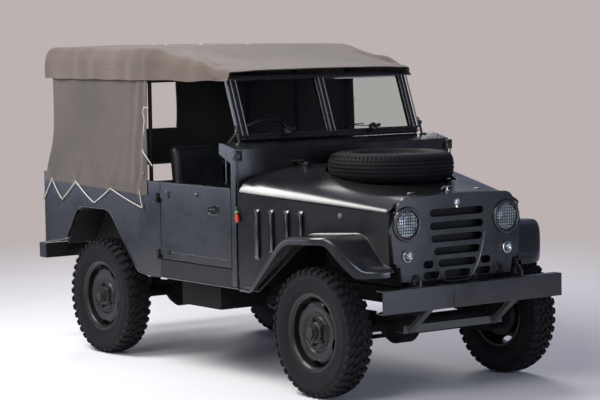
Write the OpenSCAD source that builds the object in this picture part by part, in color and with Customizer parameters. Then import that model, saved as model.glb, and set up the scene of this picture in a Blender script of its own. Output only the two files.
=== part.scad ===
/* [Overall sizes] */
// Distance between the front and rear axle lines
wheelbase = 2200; // [2150:1:2700]
// Distance between the centres of the two tyres on one axle
track = 1316; // [1280:1:1600]
// Width over the flat body sides
body_w = 1554; // [1500:1:1900]
// Height of the top of the doors and body sides
belt_z = 1108; // [1060:1:1300]
// Height of the lower edge of the sills
sill_z = 540; // [500:1:560]

/* [Lengths along the car] */
// From the front axle forward to the face of the front bumper
front_overhang = 506; // [470:1:620]
// From the rear axle back to the face of the rear bumper
rear_overhang = 814; // [760:1:960]
// From the front axle forward to the face of the grille panel
grille_offset = 360; // [340:1:400]
// From the front axle back to the face of the cowl
cowl_offset = 630; // [610:1:750]
// From the rear axle back to the rear face of the body
tail_offset = 590; // [560:1:680]
// Length of one door
door_len = 730; // [600:1:760]
// Length of the cowl side ahead of the door
cowl_side_len = 52; // [45:1:80]

/* [Wheels] */
// Outer radius of a tyre
tyre_r = 356; // [340:1:380]
// Width of a tyre
tyre_w = 166; // [150:1:200]
// Radius at which the tyre sits on its rim
bead_r = 205; // [190:1:215]
// Radius of the wheel spindles
spindle_r = 22; // [18:1:26]
// Radius of the hub that carries each wheel disc
hub_r = 62; // [50:1:72]
// Radius of the brake drum behind each wheel disc
drum_r = 140; // [120:1:155]

/* [Steering] */
// Inward distance from the tyre centre to the king pin
kingpin_inset = 95; // [88:1:110]
// Radius of the king pin
kingpin_r = 14; // [10:1:18]
// Length of the steering arm behind the king pin
steer_arm = 140; // [110:1:160]
// Radius of the steering wheel rim
steering_wheel_r = 205; // [180:1:220]
// Angle of the steering column above the horizontal
column_angle = 40; // [30:1:50]

/* [Body] */
// Thickness of the body side walls and doors
wall = 24; // [16:1:30]
// Thickness of the thin sheet pieces
sheet = 8; // [6:1:10]
// Gap around each moving panel
panel_gap = 6; // [5:0.5:8]
// Radial running clearance of every pin in its bore
pin_clearance = 0.05; // [0.02:0.01:0.1]
// Half width of the grille panel at its widest
grille_half_w = 462; // [440:1:480]
// Height of the top of the grille panel
grille_top_z = 1095; // [1080:1:1110]
// Height of the middle of the bonnet at the cowl
bonnet_rear_z = 1225; // [1215:1:1240]
// Half width of the tailgate
tailgate_half_w = 560; // [500:1:600]

/* [Windscreen and canopy] */
// Half width of the windscreen frame
screen_half_w = 650; // [600:1:680]
// Height of the foot of the windscreen frame
screen_foot_z = 1355; // [1345:1:1370]
// Length of the windscreen frame up its own slope
screen_len = 392; // [360:1:420]
// Rearward lean of the windscreen
screen_lean = 21; // [15:1:26]
// Thickness of the windscreen frame
screen_t = 30; // [24:1:36]
// Radius of the canopy bow tubes
bow_r = 12; // [10:1:15]
// Height of the canopy bows over the floor of the road
bow_top_z = 1890; // [1860:1:1950]
// Thickness of the canvas
canvas_t = 6; // [4:1:8]

/* [Hidden] */

big = 5000;
side_x = body_w / 2;
flare_x = side_x + 10.5;
axle_z = tyre_r;
front_axle_y = -wheelbase / 2 - 154;
rear_axle_y = wheelbase / 2 - 154;
bumper_y = front_axle_y - front_overhang;
rear_bumper_y = rear_axle_y + rear_overhang;
grille_y = front_axle_y - grille_offset;
cowl_y = front_axle_y + cowl_offset;
tail_y = rear_axle_y + tail_offset;
door_y0 = cowl_y + cowl_side_len;
door_y1 = door_y0 + door_len;
door_z0 = sill_z + 115;
tyre_x = track / 2;
kingpin_x = tyre_x - kingpin_inset;

body_green = [0.20, 0.22, 0.20];
under_grey = [0.13, 0.13, 0.13];
canvas_olive = [0.42, 0.39, 0.32];
rubber_black = [0.09, 0.09, 0.09];

// A box between two corners
module box(x0, x1, y0, y1, z0, z1)
    translate([x0, y0, z0]) cube([x1 - x0, y1 - y0, z1 - z0]);

// An outline given as [y, z] points, extruded across the car
module across(x0, x1)
    translate([x0, 0, 0]) rotate([90, 0, 90]) linear_extrude(x1 - x0) children();

// An outline given as [x, z] points, extruded along the car
module along(y0, y1)
    translate([0, y1, 0]) rotate([90, 0, 0]) linear_extrude(y1 - y0) children();

// A cylinder between two points
module rod(a, b, r, fn = 32) {
    d = b - a;
    translate(a)
        rotate([0, acos(d[2] / norm(d)), atan2(d[1], d[0])])
            cylinder(r = r, h = norm(d), $fn = fn);
}

// The same shape on the right (negative x) and left of the car
module both_sides() {
    children();
    mirror([1, 0, 0]) children();
}

module side_of(s) {
    if (s > 0) children();
    else mirror([1, 0, 0]) children();
}

function unit(v) = v / norm(v);
function turned(v, t) = [v[0] * cos(t) - v[1] * sin(t), v[0] * sin(t) + v[1] * cos(t)];
function corner_arc(a, p, b, r, n) =
    let (u = unit(a - p), v = unit(b - p), half = acos(u * v) / 2,
        c = p + unit(u + v) * r / sin(half), s = p + u * r / tan(half) - c,
        way = sign(cross(s, p + v * r / tan(half) - c)))
    [for (i = [0 : n]) c + turned(s, way * (180 - 2 * half) * i / n)];
// An open path with each corner rounded by its radius
function rounded(path, radii, n = 6) = [
    for (i = [0 : len(path) - 1])
        each (radii[i] == 0 ? [path[i]]
            : corner_arc(path[i - 1], path[i], path[i + 1], radii[i], n))];
function normal_at(path, i) =
    let (last = len(path) - 1,
        a = unit(path[min(i + 1, last)] - path[min(i, last - 1)]),
        b = unit(path[max(i, 1)] - path[max(i - 1, 0)]),
        m = unit(a + b))
    [-m[1], m[0]] / (m * a);
// The same path moved sideways to its left
function beside(path, t) = [for (i = [0 : len(path) - 1]) path[i] + normal_at(path, i) * t];
function backwards(path) = [for (i = [len(path) - 1 : -1 : 0]) path[i]];
function band(path, t) = concat(path, backwards(beside(path, t)));
function mirrored(half) = concat(half, backwards([for (p = half) [-p[0], p[1]]]));

/* --- frame and running gear --- */
rail_x = 345;
rail_w = 50;
rail_h = 90;
rail_mid_z = sill_z + 5;
floor_t = 15;
floor_z = rail_mid_z + floor_t;
rail_front_z = rail_mid_z + 52;
rail_rear_z = rail_mid_z + 100;
bumper_depth = 60;
bumper_h = 126;
bumper_z = rail_front_z - rail_h / 2 + 3 - bumper_h / 2;
bumper_half_w = 635;
rear_bumper_depth = 84;
rear_bumper_h = 99;
rear_bumper_z = 532;
rail_front_y = bumper_y + 6;
rail_rear_y = rear_bumper_y - rear_bumper_depth;
rail_path = [[rail_front_y, rail_front_z], [front_axle_y + 460, rail_front_z],
    [front_axle_y + 600, rail_mid_z], [rear_axle_y - 650, rail_mid_z],
    [rear_axle_y - 490, rail_rear_z], [rail_rear_y, rail_rear_z]];
cross_x = rail_x - rail_w / 2;

module chassis_frame() {
    color(under_grey) {
        both_sides()
            across(rail_x - rail_w / 2, rail_x + rail_w / 2)
                polygon(band(rail_path, -rail_h));
        box(-cross_x, cross_x, grille_y + 50, grille_y + 110, rail_front_z - rail_h, rail_front_z);
        box(-cross_x, cross_x, rear_axle_y - 600, rear_axle_y - 540,
            rail_mid_z - rail_h, rail_mid_z - 10);
        box(-cross_x, cross_x, rear_axle_y + 180, rear_axle_y + 240,
            rail_rear_z - rail_h, rail_rear_z - 10);
        box(-cross_x, cross_x, rail_rear_y - 50, rail_rear_y, rail_rear_z - rail_h, rail_rear_z);
        box(-cross_x, cross_x, cowl_y + 60, cowl_y + 120, rail_mid_z - rail_h, gearbox_z0);
    }
}

engine_w = 380;
engine_y0 = grille_y + 150;
engine_y1 = cowl_y - 130;
engine_z0 = 505;
engine_z1 = 980;
gearbox_w = 300;
gearbox_z0 = rail_mid_z - rail_h + 20;
gearbox_z1 = 720;
transfer_y = cowl_y + 700;
transfer_z = 440;

module engine_and_gearbox() {
    color([0.25, 0.27, 0.27]) {
        box(-engine_w / 2, engine_w / 2, engine_y0, engine_y1, engine_z0, engine_z1);
        box(-gearbox_w / 2, gearbox_w / 2, engine_y1, transfer_y - 90, gearbox_z0, gearbox_z1);
        box(-gearbox_w / 2, gearbox_w / 2 + 70, transfer_y - 90, transfer_y + 90,
            transfer_z - 100, rail_mid_z - 5);
    }
}

axle_tube_r = 36;
diff_r = 112;
diff_x = -110;
fork_gap = 76;
fork_t = 20;

// Half of a steered axle end: the fork that holds the king pin
module axle_fork() {
    difference() {
        union() {
            box(kingpin_x - 95, kingpin_x - 55, front_axle_y - 42, front_axle_y + 42,
                axle_z - fork_gap - fork_t, axle_z + fork_gap + fork_t);
            for (z = [axle_z - fork_gap - fork_t, axle_z + fork_gap]) {
                box(kingpin_x - 56, kingpin_x, front_axle_y - 36, front_axle_y + 36,
                    z, z + fork_t);
                translate([kingpin_x, front_axle_y, z])
                    cylinder(r = 36, h = fork_t, $fn = 48);
            }
        }
        translate([kingpin_x, front_axle_y, 0])
            cylinder(r = kingpin_r + pin_clearance, h = big, $fn = 48);
    }
}

// An axle tube with its differential housing, turned about the x axis
module axle_tube(y, half_len) {
    translate([0, y, axle_z]) rotate([0, 90, 0]) rotate_extrude($fn = 64)
        polygon([[0, -half_len], [axle_tube_r, -half_len], [axle_tube_r, diff_x - 130],
            [diff_r - 30, diff_x - 90], [diff_r, diff_x - 50], [diff_r, diff_x + 50],
            [diff_r - 30, diff_x + 90], [axle_tube_r, diff_x + 130], [axle_tube_r, half_len],
            [0, half_len]]);
}

module front_axle() {
    color(under_grey) {
        both_sides() axle_fork();
        axle_tube(front_axle_y, kingpin_x - 90);
        rod([diff_x, front_axle_y, axle_z], [diff_x, front_axle_y + 175, axle_z], 42);
    }
}

hub_x = tyre_x - 20;

module rear_axle() {
    color(under_grey) {
        axle_tube(rear_axle_y, hub_x - 70);
        both_sides()
            rod([hub_x - 71, rear_axle_y, axle_z], [hub_x + 60, rear_axle_y, axle_z],
                spindle_r);
        rod([diff_x, rear_axle_y - 175, axle_z], [diff_x, rear_axle_y, axle_z], 42);
    }
}

spring_r = 1900;
leaf_t = 7;
leaves = 5;
spring_w = 45;
spring_half = 430;
spring_z = axle_z + axle_tube_r + 4;

// Height of the pack's lower face at a distance along it from its middle
function spring_rise(y) = y * y / 2 / spring_r;

leaf_ends = [for (i = [0 : leaves - 1]) spring_half - 75 * i];
pack_top = spring_z + leaves * leaf_t;
function leaf_under(y, i) = [y, pack_top - (i + 1) * leaf_t + spring_rise(y)];
// The front half of the leaf pack's stepped underside, from the eye inwards
leaf_steps = [for (i = [0 : leaves - 1])
    each [leaf_under(leaf_ends[i], i), leaf_under(i < leaves - 1 ? leaf_ends[i + 1] : 30, i)]];

// The stacked leaves as one outline, with a step where each leaf ends
module leaf_pack()
    polygon(concat(
        [for (y = concat(leaf_ends, [30])) [-y, pack_top + spring_rise(y)]],
        backwards([for (y = concat(leaf_ends, [30])) [y, pack_top + spring_rise(y)]]),
        leaf_steps, backwards([for (p = leaf_steps) [-p[0], p[1]]])));

eye_z = spring_z + (leaves - 0.5) * leaf_t + spring_rise(spring_half);

module spring_at(y, rail_top_z) {
    translate([0, y, 0]) {
        across(rail_x - spring_w / 2, rail_x + spring_w / 2) leaf_pack();
        box(rail_x - 34, rail_x + 34, -40, 40, axle_z + axle_tube_r + 0.3, pack_top + 12);
        for (s = [-1, 1])
            box(rail_x - 24, rail_x + 24, s * spring_half - 14, s * spring_half + 14,
                eye_z - 14, rail_top_z - rail_h);
    }
}

module suspension() {
    color([0.10, 0.10, 0.10]) both_sides() {
        spring_at(front_axle_y, rail_front_z);
        spring_at(rear_axle_y, rail_rear_z);
    }
}

// Room for the slanted end faces of the shafts
shaft_gap = 1.9;
shaft_top_z = transfer_z - 44;

module prop_shafts() {
    color([0.16, 0.16, 0.16]) {
        rod([diff_x, front_axle_y + 175 + shaft_gap, axle_z],
            [diff_x, transfer_y - 90 - shaft_gap, shaft_top_z], 26);
        rod([diff_x, transfer_y + 90 + shaft_gap, shaft_top_z],
            [diff_x, rear_axle_y - 175 - shaft_gap, axle_z], 26);
    }
}

exhaust_x = 470;
exhaust_z = 450;

module exhaust() {
    color([0.22, 0.17, 0.14]) {
        rod([exhaust_x, cowl_y + 150, exhaust_z], [exhaust_x, door_y1 - 150, exhaust_z], 24);
        rod([exhaust_x, door_y1 - 150, exhaust_z], [exhaust_x, door_y1 + 250, exhaust_z], 70);
        for (y = [cowl_y + 200, door_y1 - 100])
            box(rail_x + rail_w / 2, exhaust_x, y, y + 14, exhaust_z + 8, exhaust_z + 18);
    }
}

module fuel_tank() {
    color(under_grey)
        box(-720, -400, cowl_y + 250, cowl_y + 650, rail_mid_z - 150, rail_mid_z);
}

radiator_half_w = 300;

module radiator() {
    color([0.12, 0.12, 0.12])
        box(-radiator_half_w, radiator_half_w, grille_y + 55, grille_y + 105,
            rail_front_z, grille_top_z - 85);
}

/* --- wheels --- */
rim_flange_r = bead_r + 17;
rim_half_w = 62;

// The section of a tyre as [radius, offset] points
tyre_half = tyre_w / 2;
tyre_section = [[bead_r, -rim_half_w + 6], [bead_r + 30, -rim_half_w - 4],
    [bead_r + 70, -tyre_half], [tyre_r - 38, -tyre_half + 2], [tyre_r - 8, -tyre_half + 18],
    [tyre_r, -tyre_half + 34], [tyre_r, tyre_half - 34], [tyre_r - 8, tyre_half - 18],
    [tyre_r - 38, tyre_half - 2], [bead_r + 70, tyre_half], [bead_r + 30, rim_half_w + 4],
    [bead_r, rim_half_w - 6]];

// A ring about the x axis whose section is given as [radius, offset] points
module ring_x() rotate([0, 90, 0]) rotate_extrude($fn = 96) children();

module tyre() {
    color(rubber_black) ring_x() polygon(tyre_section);
}

// A wheel: rim, dished disc and hub with drum, its outer face towards +x
module wheel() {
    color(body_green) difference() {
        union() {
            ring_x() polygon([[bead_r - 14, -rim_half_w], [bead_r - 0.4, -rim_half_w],
                [bead_r - 0.4, rim_half_w - 3.5], [bead_r + 12, rim_half_w + 2.5],
                [bead_r + 12, rim_half_w + 6], [bead_r - 14, rim_half_w + 2]]);
            ring_x() polygon([[spindle_r + pin_clearance, 8], [95, 8], [120, 24], [150, 26],
                [bead_r - 14, 6], [bead_r - 13, 14], [160, 38], [110, 36], [88, 20],
                [hub_r, 20], [hub_r, 62], [40, 66], [40, 88], [spindle_r + pin_clearance, 88]]);
            ring_x() polygon([[spindle_r + pin_clearance, -50], [drum_r, -50], [drum_r, 0],
                [90, 9], [spindle_r + pin_clearance, 9]]);
        }
    }
}

module put_wheel(s, y)
    translate([s * tyre_x, y, axle_z]) side_of(s) children();

module front_right_tyre() { put_wheel(-1, front_axle_y) tyre(); }
module front_left_tyre() { put_wheel(1, front_axle_y) tyre(); }
module rear_right_tyre() { put_wheel(-1, rear_axle_y) tyre(); }
module rear_left_tyre() { put_wheel(1, rear_axle_y) tyre(); }
module front_right_wheel() { put_wheel(-1, front_axle_y) wheel(); }
module front_left_wheel() { put_wheel(1, front_axle_y) wheel(); }
module rear_right_wheel() { put_wheel(-1, rear_axle_y) wheel(); }
module rear_left_wheel() { put_wheel(1, rear_axle_y) wheel(); }

/* --- steering --- */
arm_z = axle_z - 60;
arm_pin_r = 9;
arm_pin_h = 34;

// A knuckle on the left of the car
module knuckle() {
    color(under_grey) difference() {
        union() {
            translate([kingpin_x, front_axle_y, axle_z - fork_gap + 2])
                cylinder(r = 34, h = 2 * fork_gap - 4, $fn = 48);
            translate([kingpin_x, front_axle_y, axle_z - fork_gap - fork_t - 6])
                cylinder(r = kingpin_r, h = 2 * (fork_gap + fork_t + 6), $fn = 48);
            rod([kingpin_x, front_axle_y, axle_z], [tyre_x - 58, front_axle_y, axle_z], 46);
            rod([kingpin_x, front_axle_y, axle_z], [tyre_x + 70, front_axle_y, axle_z],
                spindle_r);
            box(kingpin_x - 16, kingpin_x + 16, front_axle_y, front_axle_y + steer_arm,
                arm_z - 10, arm_z + 10);
            translate([kingpin_x, front_axle_y + steer_arm, arm_z - 10])
                cylinder(r = 22, h = 20, $fn = 48);
        }
        translate([kingpin_x, front_axle_y + steer_arm, 0])
            cylinder(r = arm_pin_r + pin_clearance, h = axle_z, $fn = 48);
    }
}

module left_knuckle() { knuckle(); }
module right_knuckle() { mirror([1, 0, 0]) knuckle(); }

module tie_rod() {
    color([0.16, 0.16, 0.16]) {
        rod([-kingpin_x, front_axle_y + steer_arm, arm_z - 26],
            [kingpin_x, front_axle_y + steer_arm, arm_z - 26], 12);
        both_sides() translate([kingpin_x, front_axle_y + steer_arm, 0]) {
            translate([0, 0, arm_z - 40]) cylinder(r = 20, h = 29.5, $fn = 48);
            translate([0, 0, arm_z - 30]) cylinder(r = arm_pin_r, h = 50, $fn = 48);
        }
    }
}

column_x = -395;
wheel_y = cowl_y + 345;
wheel_z = belt_z + 208;
column_dir = [0, -cos(column_angle), -sin(column_angle)];
column_top = [column_x, wheel_y, wheel_z];
column_r = 22;
// Along the column to where its end face meets the cowl
column_len = (wheel_y - cowl_y - 12) / cos(column_angle) - column_r * tan(column_angle) - 0.4;

module steering_column() {
    color(under_grey)
        rod(column_top + column_dir * 46, column_top + column_dir * column_len, column_r);
}

module steering_wheel() {
    color(rubber_black)
        translate(column_top) rotate([column_angle - 90, 0, 0]) {
            rotate_extrude($fn = 96) translate([steering_wheel_r, 0]) circle(r = 11, $fn = 24);
            for (t = [90, 210, 330])
                rotate([0, 0, t]) rod([20, 0, -12], [steering_wheel_r, 0, 0], 7, 24);
            translate([0, 0, -45.7]) cylinder(r = 26, h = 50, $fn = 48);
        }
}

/* --- nose --- */
slot_h = 41;
slots = [[190, 190, 992], [190, 190, 921], [187, 175, 852], [170, 155, 783],
    [145, 126, 716], [109, 75, 648]];
lamp_x = 352;
lamp_z = 943;
lamp_r = 90;
marker_x = 354;
marker_z = 773;
grille_t = 20;
grille_outline = mirrored([for (p = rounded(
    [[0, grille_top_z], [grille_half_w - 70, grille_top_z - 12], [grille_half_w, 920],
        [grille_half_w - 22, 740], [grille_half_w - 62, 715], [grille_half_w - 77, 632]],
    [0, 70, 60, 0, 0, 0])) p]);

module slot(x0, x1_top, x1_bottom, z)
    along(grille_y - 1, grille_y + grille_t + 1)
        polygon([[x0, z - slot_h / 2], [x1_bottom, z - slot_h / 2], [x1_top, z + slot_h / 2],
            [x0, z + slot_h / 2]]);

module grille_panel() {
    color(body_green) difference() {
        along(grille_y, grille_y + grille_t) polygon(grille_outline);
        both_sides() {
            for (s = slots) slot(-1, s[0], s[1], s[2]);
            slot(168, 239, 239, 716);
            slot(130, 240, 240, 648);
            rod([lamp_x, grille_y - 1, lamp_z], [lamp_x, grille_y + grille_t + 1, lamp_z], lamp_r);
        }
    }
}

module headlamps() {
    color([0.75, 0.77, 0.78]) both_sides() {
        rod([lamp_x, grille_y - 14, lamp_z], [lamp_x, grille_y, lamp_z], lamp_r + 6, 64);
        rod([lamp_x, grille_y, lamp_z], [lamp_x, grille_y + 50, lamp_z], lamp_r - 4, 64);
    }
}

tail_lamp_x = 690;

module small_lamps() {
    color([0.75, 0.74, 0.70]) both_sides() {
        rod([marker_x, grille_y - 26, marker_z], [marker_x, grille_y, marker_z], 35, 48);
        rod([tail_lamp_x, tail_y, 740], [tail_lamp_x, tail_y + 30, 740], 34, 48);
    }
}

bonnet_side_rear_z = 1088;
bonnet_side_front_z = 1012;
panel_rear_x = side_x;
panel_front_x = grille_half_w;
bonnet_y0 = grille_y + grille_t + panel_gap;
bonnet_y1 = cowl_y - panel_gap;
// Half of the bonnet's section at the cowl and at the grille
bonnet_rear = [[0, bonnet_rear_z], [329, bonnet_rear_z - 3], [451, bonnet_rear_z - 18],
    [521, bonnet_rear_z - 25], [605, bonnet_rear_z - 40], [698, bonnet_rear_z - 57],
    [side_x - 40, bonnet_rear_z - 80], [side_x - 8, bonnet_rear_z - 115],
    [side_x, bonnet_side_rear_z]];
bonnet_front = [[0, grille_top_z], [273, grille_top_z - 8], [344, grille_top_z - 19],
    [378, grille_top_z - 36], [grille_half_w - 21, 1040], [grille_half_w + 10, 1020],
    [grille_half_w + 12, bonnet_side_front_z]];
bonnet_sheet = 16;

module bonnet_solid(inset) {
    hull() {
        along(bonnet_y1 - 1, bonnet_y1)
            polygon([for (p = mirrored(bonnet_rear)) [p[0] * (1 - inset / side_x), p[1] - inset]]);
        along(bonnet_y0, bonnet_y0 + 1)
            polygon([for (p = mirrored(bonnet_front))
                [p[0] * (1 - inset / panel_front_x), p[1] - inset]]);
    }
}

spare_y = front_axle_y + 210;
spare_z = 1216;
well_z = spare_z - tyre_w / 2 - 0.3;
hinge_y = cowl_y - 15;
hinge_z = bonnet_rear_z + 18;
bonnet_hinge_x = 350;

module bonnet() {
    color(body_green) {
        difference() {
            union() {
                difference() {
                    bonnet_solid(0);
                    translate([0, 0, -0.1]) bonnet_solid(bonnet_sheet);
                }
                intersection() {
                    translate([0, spare_y, well_z - sheet])
                        cylinder(r = tyre_r + 22, h = 200, $fn = 96);
                    bonnet_solid(0);
                }
            }
            translate([0, spare_y, well_z]) cylinder(r = tyre_r + 12, h = 300, $fn = 96);
        }
        translate([0, spare_y, well_z - 2]) cylinder(r = 60, h = spare_z - well_z - 4.3, $fn = 48);
        both_sides() difference() {
            union() {
                rod([bonnet_hinge_x - 20, hinge_y, hinge_z], [bonnet_hinge_x + 20, hinge_y, hinge_z], 9);
                box(bonnet_hinge_x - 20, bonnet_hinge_x + 20, hinge_y - 70, hinge_y,
                    bonnet_rear_z - 18, hinge_z - 4);
            }
            rod([0, hinge_y, hinge_z], [big, hinge_y, hinge_z], 5 + pin_clearance);
        }
    }
}

module spare_tyre() { translate([0, spare_y, spare_z]) rotate([0, -90, 0]) tyre(); }

module spare_wheel() {
    color(body_green) translate([0, spare_y, spare_z]) rotate([0, 90, 0]) {
        ring_x() polygon([[bead_r - 14, -rim_half_w], [bead_r - 0.4, -rim_half_w],
            [bead_r - 0.4, rim_half_w], [bead_r - 14, rim_half_w]]);
        ring_x() polygon([[30, -6], [bead_r - 13, -6], [bead_r - 13, 6], [30, 6]]);
    }
}

nose_lip_z = 714;
fender_nose_r = 320;
// The wheel arch edge over a front wheel as [y, z] points, and the top of the rim above it
front_arch = rounded([[front_axle_y + 486, sill_z - 7], [front_axle_y + 170, 830],
    [front_axle_y - 172, 846], [front_axle_y - 300, nose_lip_z - 46], [grille_y, nose_lip_z - 48]],
    [0, 200, 60, 25, 0], 8);
fender_crest = rounded([[front_axle_y + 509, sill_z + 16], [front_axle_y + 184, 872],
    [front_axle_y - 196, 892], [front_axle_y - 318, nose_lip_z + 8], [grille_y, nose_lip_z]],
    [0, 220, 100, 40, 0], 8);
// The edges of a front fender seen from above as [x, y] points
function fender_plan(inset) = concat(
    [[side_x + 2 - inset, cowl_y]],
    rounded([[flare_x - inset, cowl_y - 110], [flare_x - inset, grille_y + inset],
        [grille_half_w + 2, grille_y + inset]], [0, fender_nose_r - inset, 0], 12),
    [[grille_half_w - 10, grille_y], [panel_rear_x - sheet * 2, cowl_y]]);

module fender() {
    intersection() {
        translate([0, 0, sill_z - 30]) linear_extrude(big) polygon(fender_plan(0));
        across(0, flare_x) polygon(band(fender_crest, sheet));
    }
    intersection() {
        translate([0, 0, sill_z - 30]) linear_extrude(big) difference() {
            polygon(fender_plan(0));
            polygon(fender_plan(sheet));
        }
        across(grille_half_w - 12, flare_x)
            polygon(concat(front_arch, backwards(fender_crest)));
    }
}

module fender_side() {
    intersection() {
        translate([0, 0, sill_z]) linear_extrude(big)
            polygon([[panel_rear_x, cowl_y], [panel_front_x, grille_y + grille_t],
                [panel_front_x - 2 * sheet, grille_y + grille_t],
                [panel_rear_x - 2 * sheet, cowl_y]]);
        across(0, flare_x)
            polygon(concat([[cowl_y, sill_z], [cowl_y, bonnet_side_rear_z - panel_gap],
                [grille_y, bonnet_side_front_z - panel_gap], [grille_y, nose_lip_z]],
                backwards([for (p = front_arch) if (p[0] > grille_y) p])));
    }
}

module front_fenders() {
    color(body_green) both_sides() {
        fender();
        fender_side();
    }
}

/* --- cab --- */
cowl_top_z = 1325;
screen_y = cowl_y + 140;

module cowl() {
    color(body_green) {
        difference() {
            box(-side_x + wall, side_x - wall, cowl_y, cowl_y + 12, floor_z, cowl_top_z);
            box(-tunnel_half_w, tunnel_half_w, cowl_y - 1, cowl_y + 13, 0, tunnel_z);
        }
        across(-side_x + wall, side_x - wall)
            polygon([[cowl_y, cowl_top_z], [screen_y - 20, screen_foot_z],
                [screen_y + 20, screen_foot_z], [screen_y + 20, screen_foot_z - 14],
                [screen_y - 20, screen_foot_z - 14], [cowl_y, cowl_top_z - 12]]);
        both_sides() {
            across(side_x - wall, side_x)
                polygon([[cowl_y, sill_z], [cowl_y, cowl_top_z], [screen_y - 20, screen_foot_z],
                    [screen_y + 20, screen_foot_z], [screen_y + 20, screen_foot_z - 60],
                    [door_y0 - panel_gap, cowl_top_z - 80], [door_y0 - panel_gap, sill_z]]);
            rod([bonnet_hinge_x + 20.3, hinge_y, hinge_z], [bonnet_hinge_x + 40, hinge_y, hinge_z], 9);
            rod([bonnet_hinge_x - 20, hinge_y, hinge_z], [bonnet_hinge_x + 21, hinge_y, hinge_z], 5);
            box(bonnet_hinge_x + 20.3, bonnet_hinge_x + 40, hinge_y, cowl_y + 1,
                hinge_z - 9, hinge_z + 9);
        }
    }
}

tunnel_half_w = 190;
tunnel_z = gearbox_z1 + 20;

module floor_pan() {
    color(body_green) {
        difference() {
            union() {
                box(-side_x + wall, side_x - wall, cowl_y + 12, door_y1 + 120, rail_mid_z, floor_z);
                box(-tunnel_half_w - sheet, tunnel_half_w + sheet, cowl_y + 12,
                    cowl_y + 700, rail_mid_z, tunnel_z + sheet);
            }
            box(-tunnel_half_w, tunnel_half_w, cowl_y, cowl_y + 692, 0, tunnel_z);
        }
        both_sides()
            box(side_x - wall, side_x, door_y0 - panel_gap, door_y1 + panel_gap,
                sill_z, door_z0 - panel_gap);
    }
}

load_floor_z = rail_rear_z + floor_t;
house_x = tyre_x - tyre_w / 2 - 30;

module load_floor() {
    color(body_green) {
        box(-house_x + 8, house_x - 8, door_y1 + 120, tail_y - wall, rail_rear_z, load_floor_z);
        box(-side_x + wall, side_x - wall, door_y1 + 120, door_y1 + 132, rail_mid_z, rail_rear_z);
    }
}

// The wheel arch edge over a rear wheel as [y, z] points
rear_arch = rounded([[rear_axle_y - 640, sill_z], [rear_axle_y - 520, sill_z + 20],
    [rear_axle_y - 200, 908], [rear_axle_y + 170, 908], [rear_axle_y + 330, 690],
    [tail_y, 652]], [0, 60, 90, 90, 60, 0], 6);
bow_x = side_x - wall - bow_r - 5;
bow_ys = [door_y1 + 161, (door_y1 + 161 + tail_y - 116) / 2, tail_y - 116];
door_pin_y = door_y1 + 23;
door_pin_x = side_x + 11.5;
door_pin_r = 6;
hinge_zs = [belt_z - 95, belt_z - 427];

module quarter() {
    across(side_x - wall, side_x)
        polygon(concat(
            [[tail_y, belt_z], [door_y1 + panel_gap, belt_z], [door_y1 + panel_gap, sill_z]],
            rear_arch));
    box(tailgate_half_w + panel_gap, side_x - wall, tail_y - wall, tail_y, 652, belt_z);
    for (y = bow_ys)
        difference() {
            box(bow_x - 18, side_x - wall, y - 18, y + 18, belt_z - 150, belt_z - 70);
            translate([bow_x, y, belt_z - 145])
                cylinder(r = bow_r + pin_clearance, h = 200, $fn = 48);
        }
    for (z = hinge_zs) {
        translate([door_pin_x, door_pin_y, z - 30]) cylinder(r = 11, h = 29.7, $fn = 48);
        translate([door_pin_x, door_pin_y, z - 2]) cylinder(r = door_pin_r, h = 32, $fn = 48);
        box(side_x, side_x + 5, door_pin_y, door_pin_y + 60, z - 30, z - 0.3);
    }
}

house_edge = rounded([[rear_axle_y - 428, load_floor_z], [rear_axle_y - 200, 908],
    [rear_axle_y + 170, 908], [rear_axle_y + 352, load_floor_z]], [0, 90, 90, 0], 6);

module wheel_houses() {
    color(body_green) both_sides() {
        across(house_x - sheet, side_x - wall) polygon(band(house_edge, sheet));
        across(house_x - sheet, house_x) polygon(house_edge);
    }
}

module quarter_panels() {
    color(body_green) {
        both_sides() quarter();
        box(-tailgate_half_w - panel_gap, tailgate_half_w + panel_gap, tail_y - wall, tail_y,
            rail_rear_z, tail_z0 - panel_gap - 8);
        tail_hinge_brackets();
    }
}

module door() {
    color(body_green) {
        box(side_x - wall - 12, side_x, door_y0, door_y1, door_z0, belt_z);
        difference() {
            for (z = hinge_zs) {
                translate([door_pin_x, door_pin_y, z]) cylinder(r = 11, h = 30, $fn = 48);
                box(side_x, side_x + 6, door_y1 - 90, door_pin_y, z, z + 30);
            }
            translate([door_pin_x, door_pin_y, 0])
                cylinder(r = door_pin_r + pin_clearance, h = big, $fn = 48);
        }
    }
}

module left_door() { door(); }
module right_door() { mirror([1, 0, 0]) door(); }

tail_z0 = 672;
tail_z1 = 1000;
tail_pin_y = tail_y + 10.5;
tail_pin_r = 5;
tail_hinge_half = 30;
tail_hinge_x = 440;
tail_pin_z = tail_z0 - 4;
tail_ear = 6.5;

module tailgate() {
    color(body_green) {
        box(-tailgate_half_w, tailgate_half_w, tail_y - wall, tail_y, tail_z0, tail_z1);
        for (x = [-tail_hinge_x, tail_hinge_x]) difference() {
            union() {
                rod([x - tail_hinge_half, tail_pin_y, tail_pin_z],
                    [x + tail_hinge_half, tail_pin_y, tail_pin_z], 10);
                box(x - tail_hinge_half, x + tail_hinge_half, tail_y, tail_y + 6,
                    tail_pin_z, tail_z0 + 60);
            }
            rod([x - 40, tail_pin_y, tail_pin_z], [x + 40, tail_pin_y, tail_pin_z],
                tail_pin_r + pin_clearance);
        }
    }
}

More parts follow.
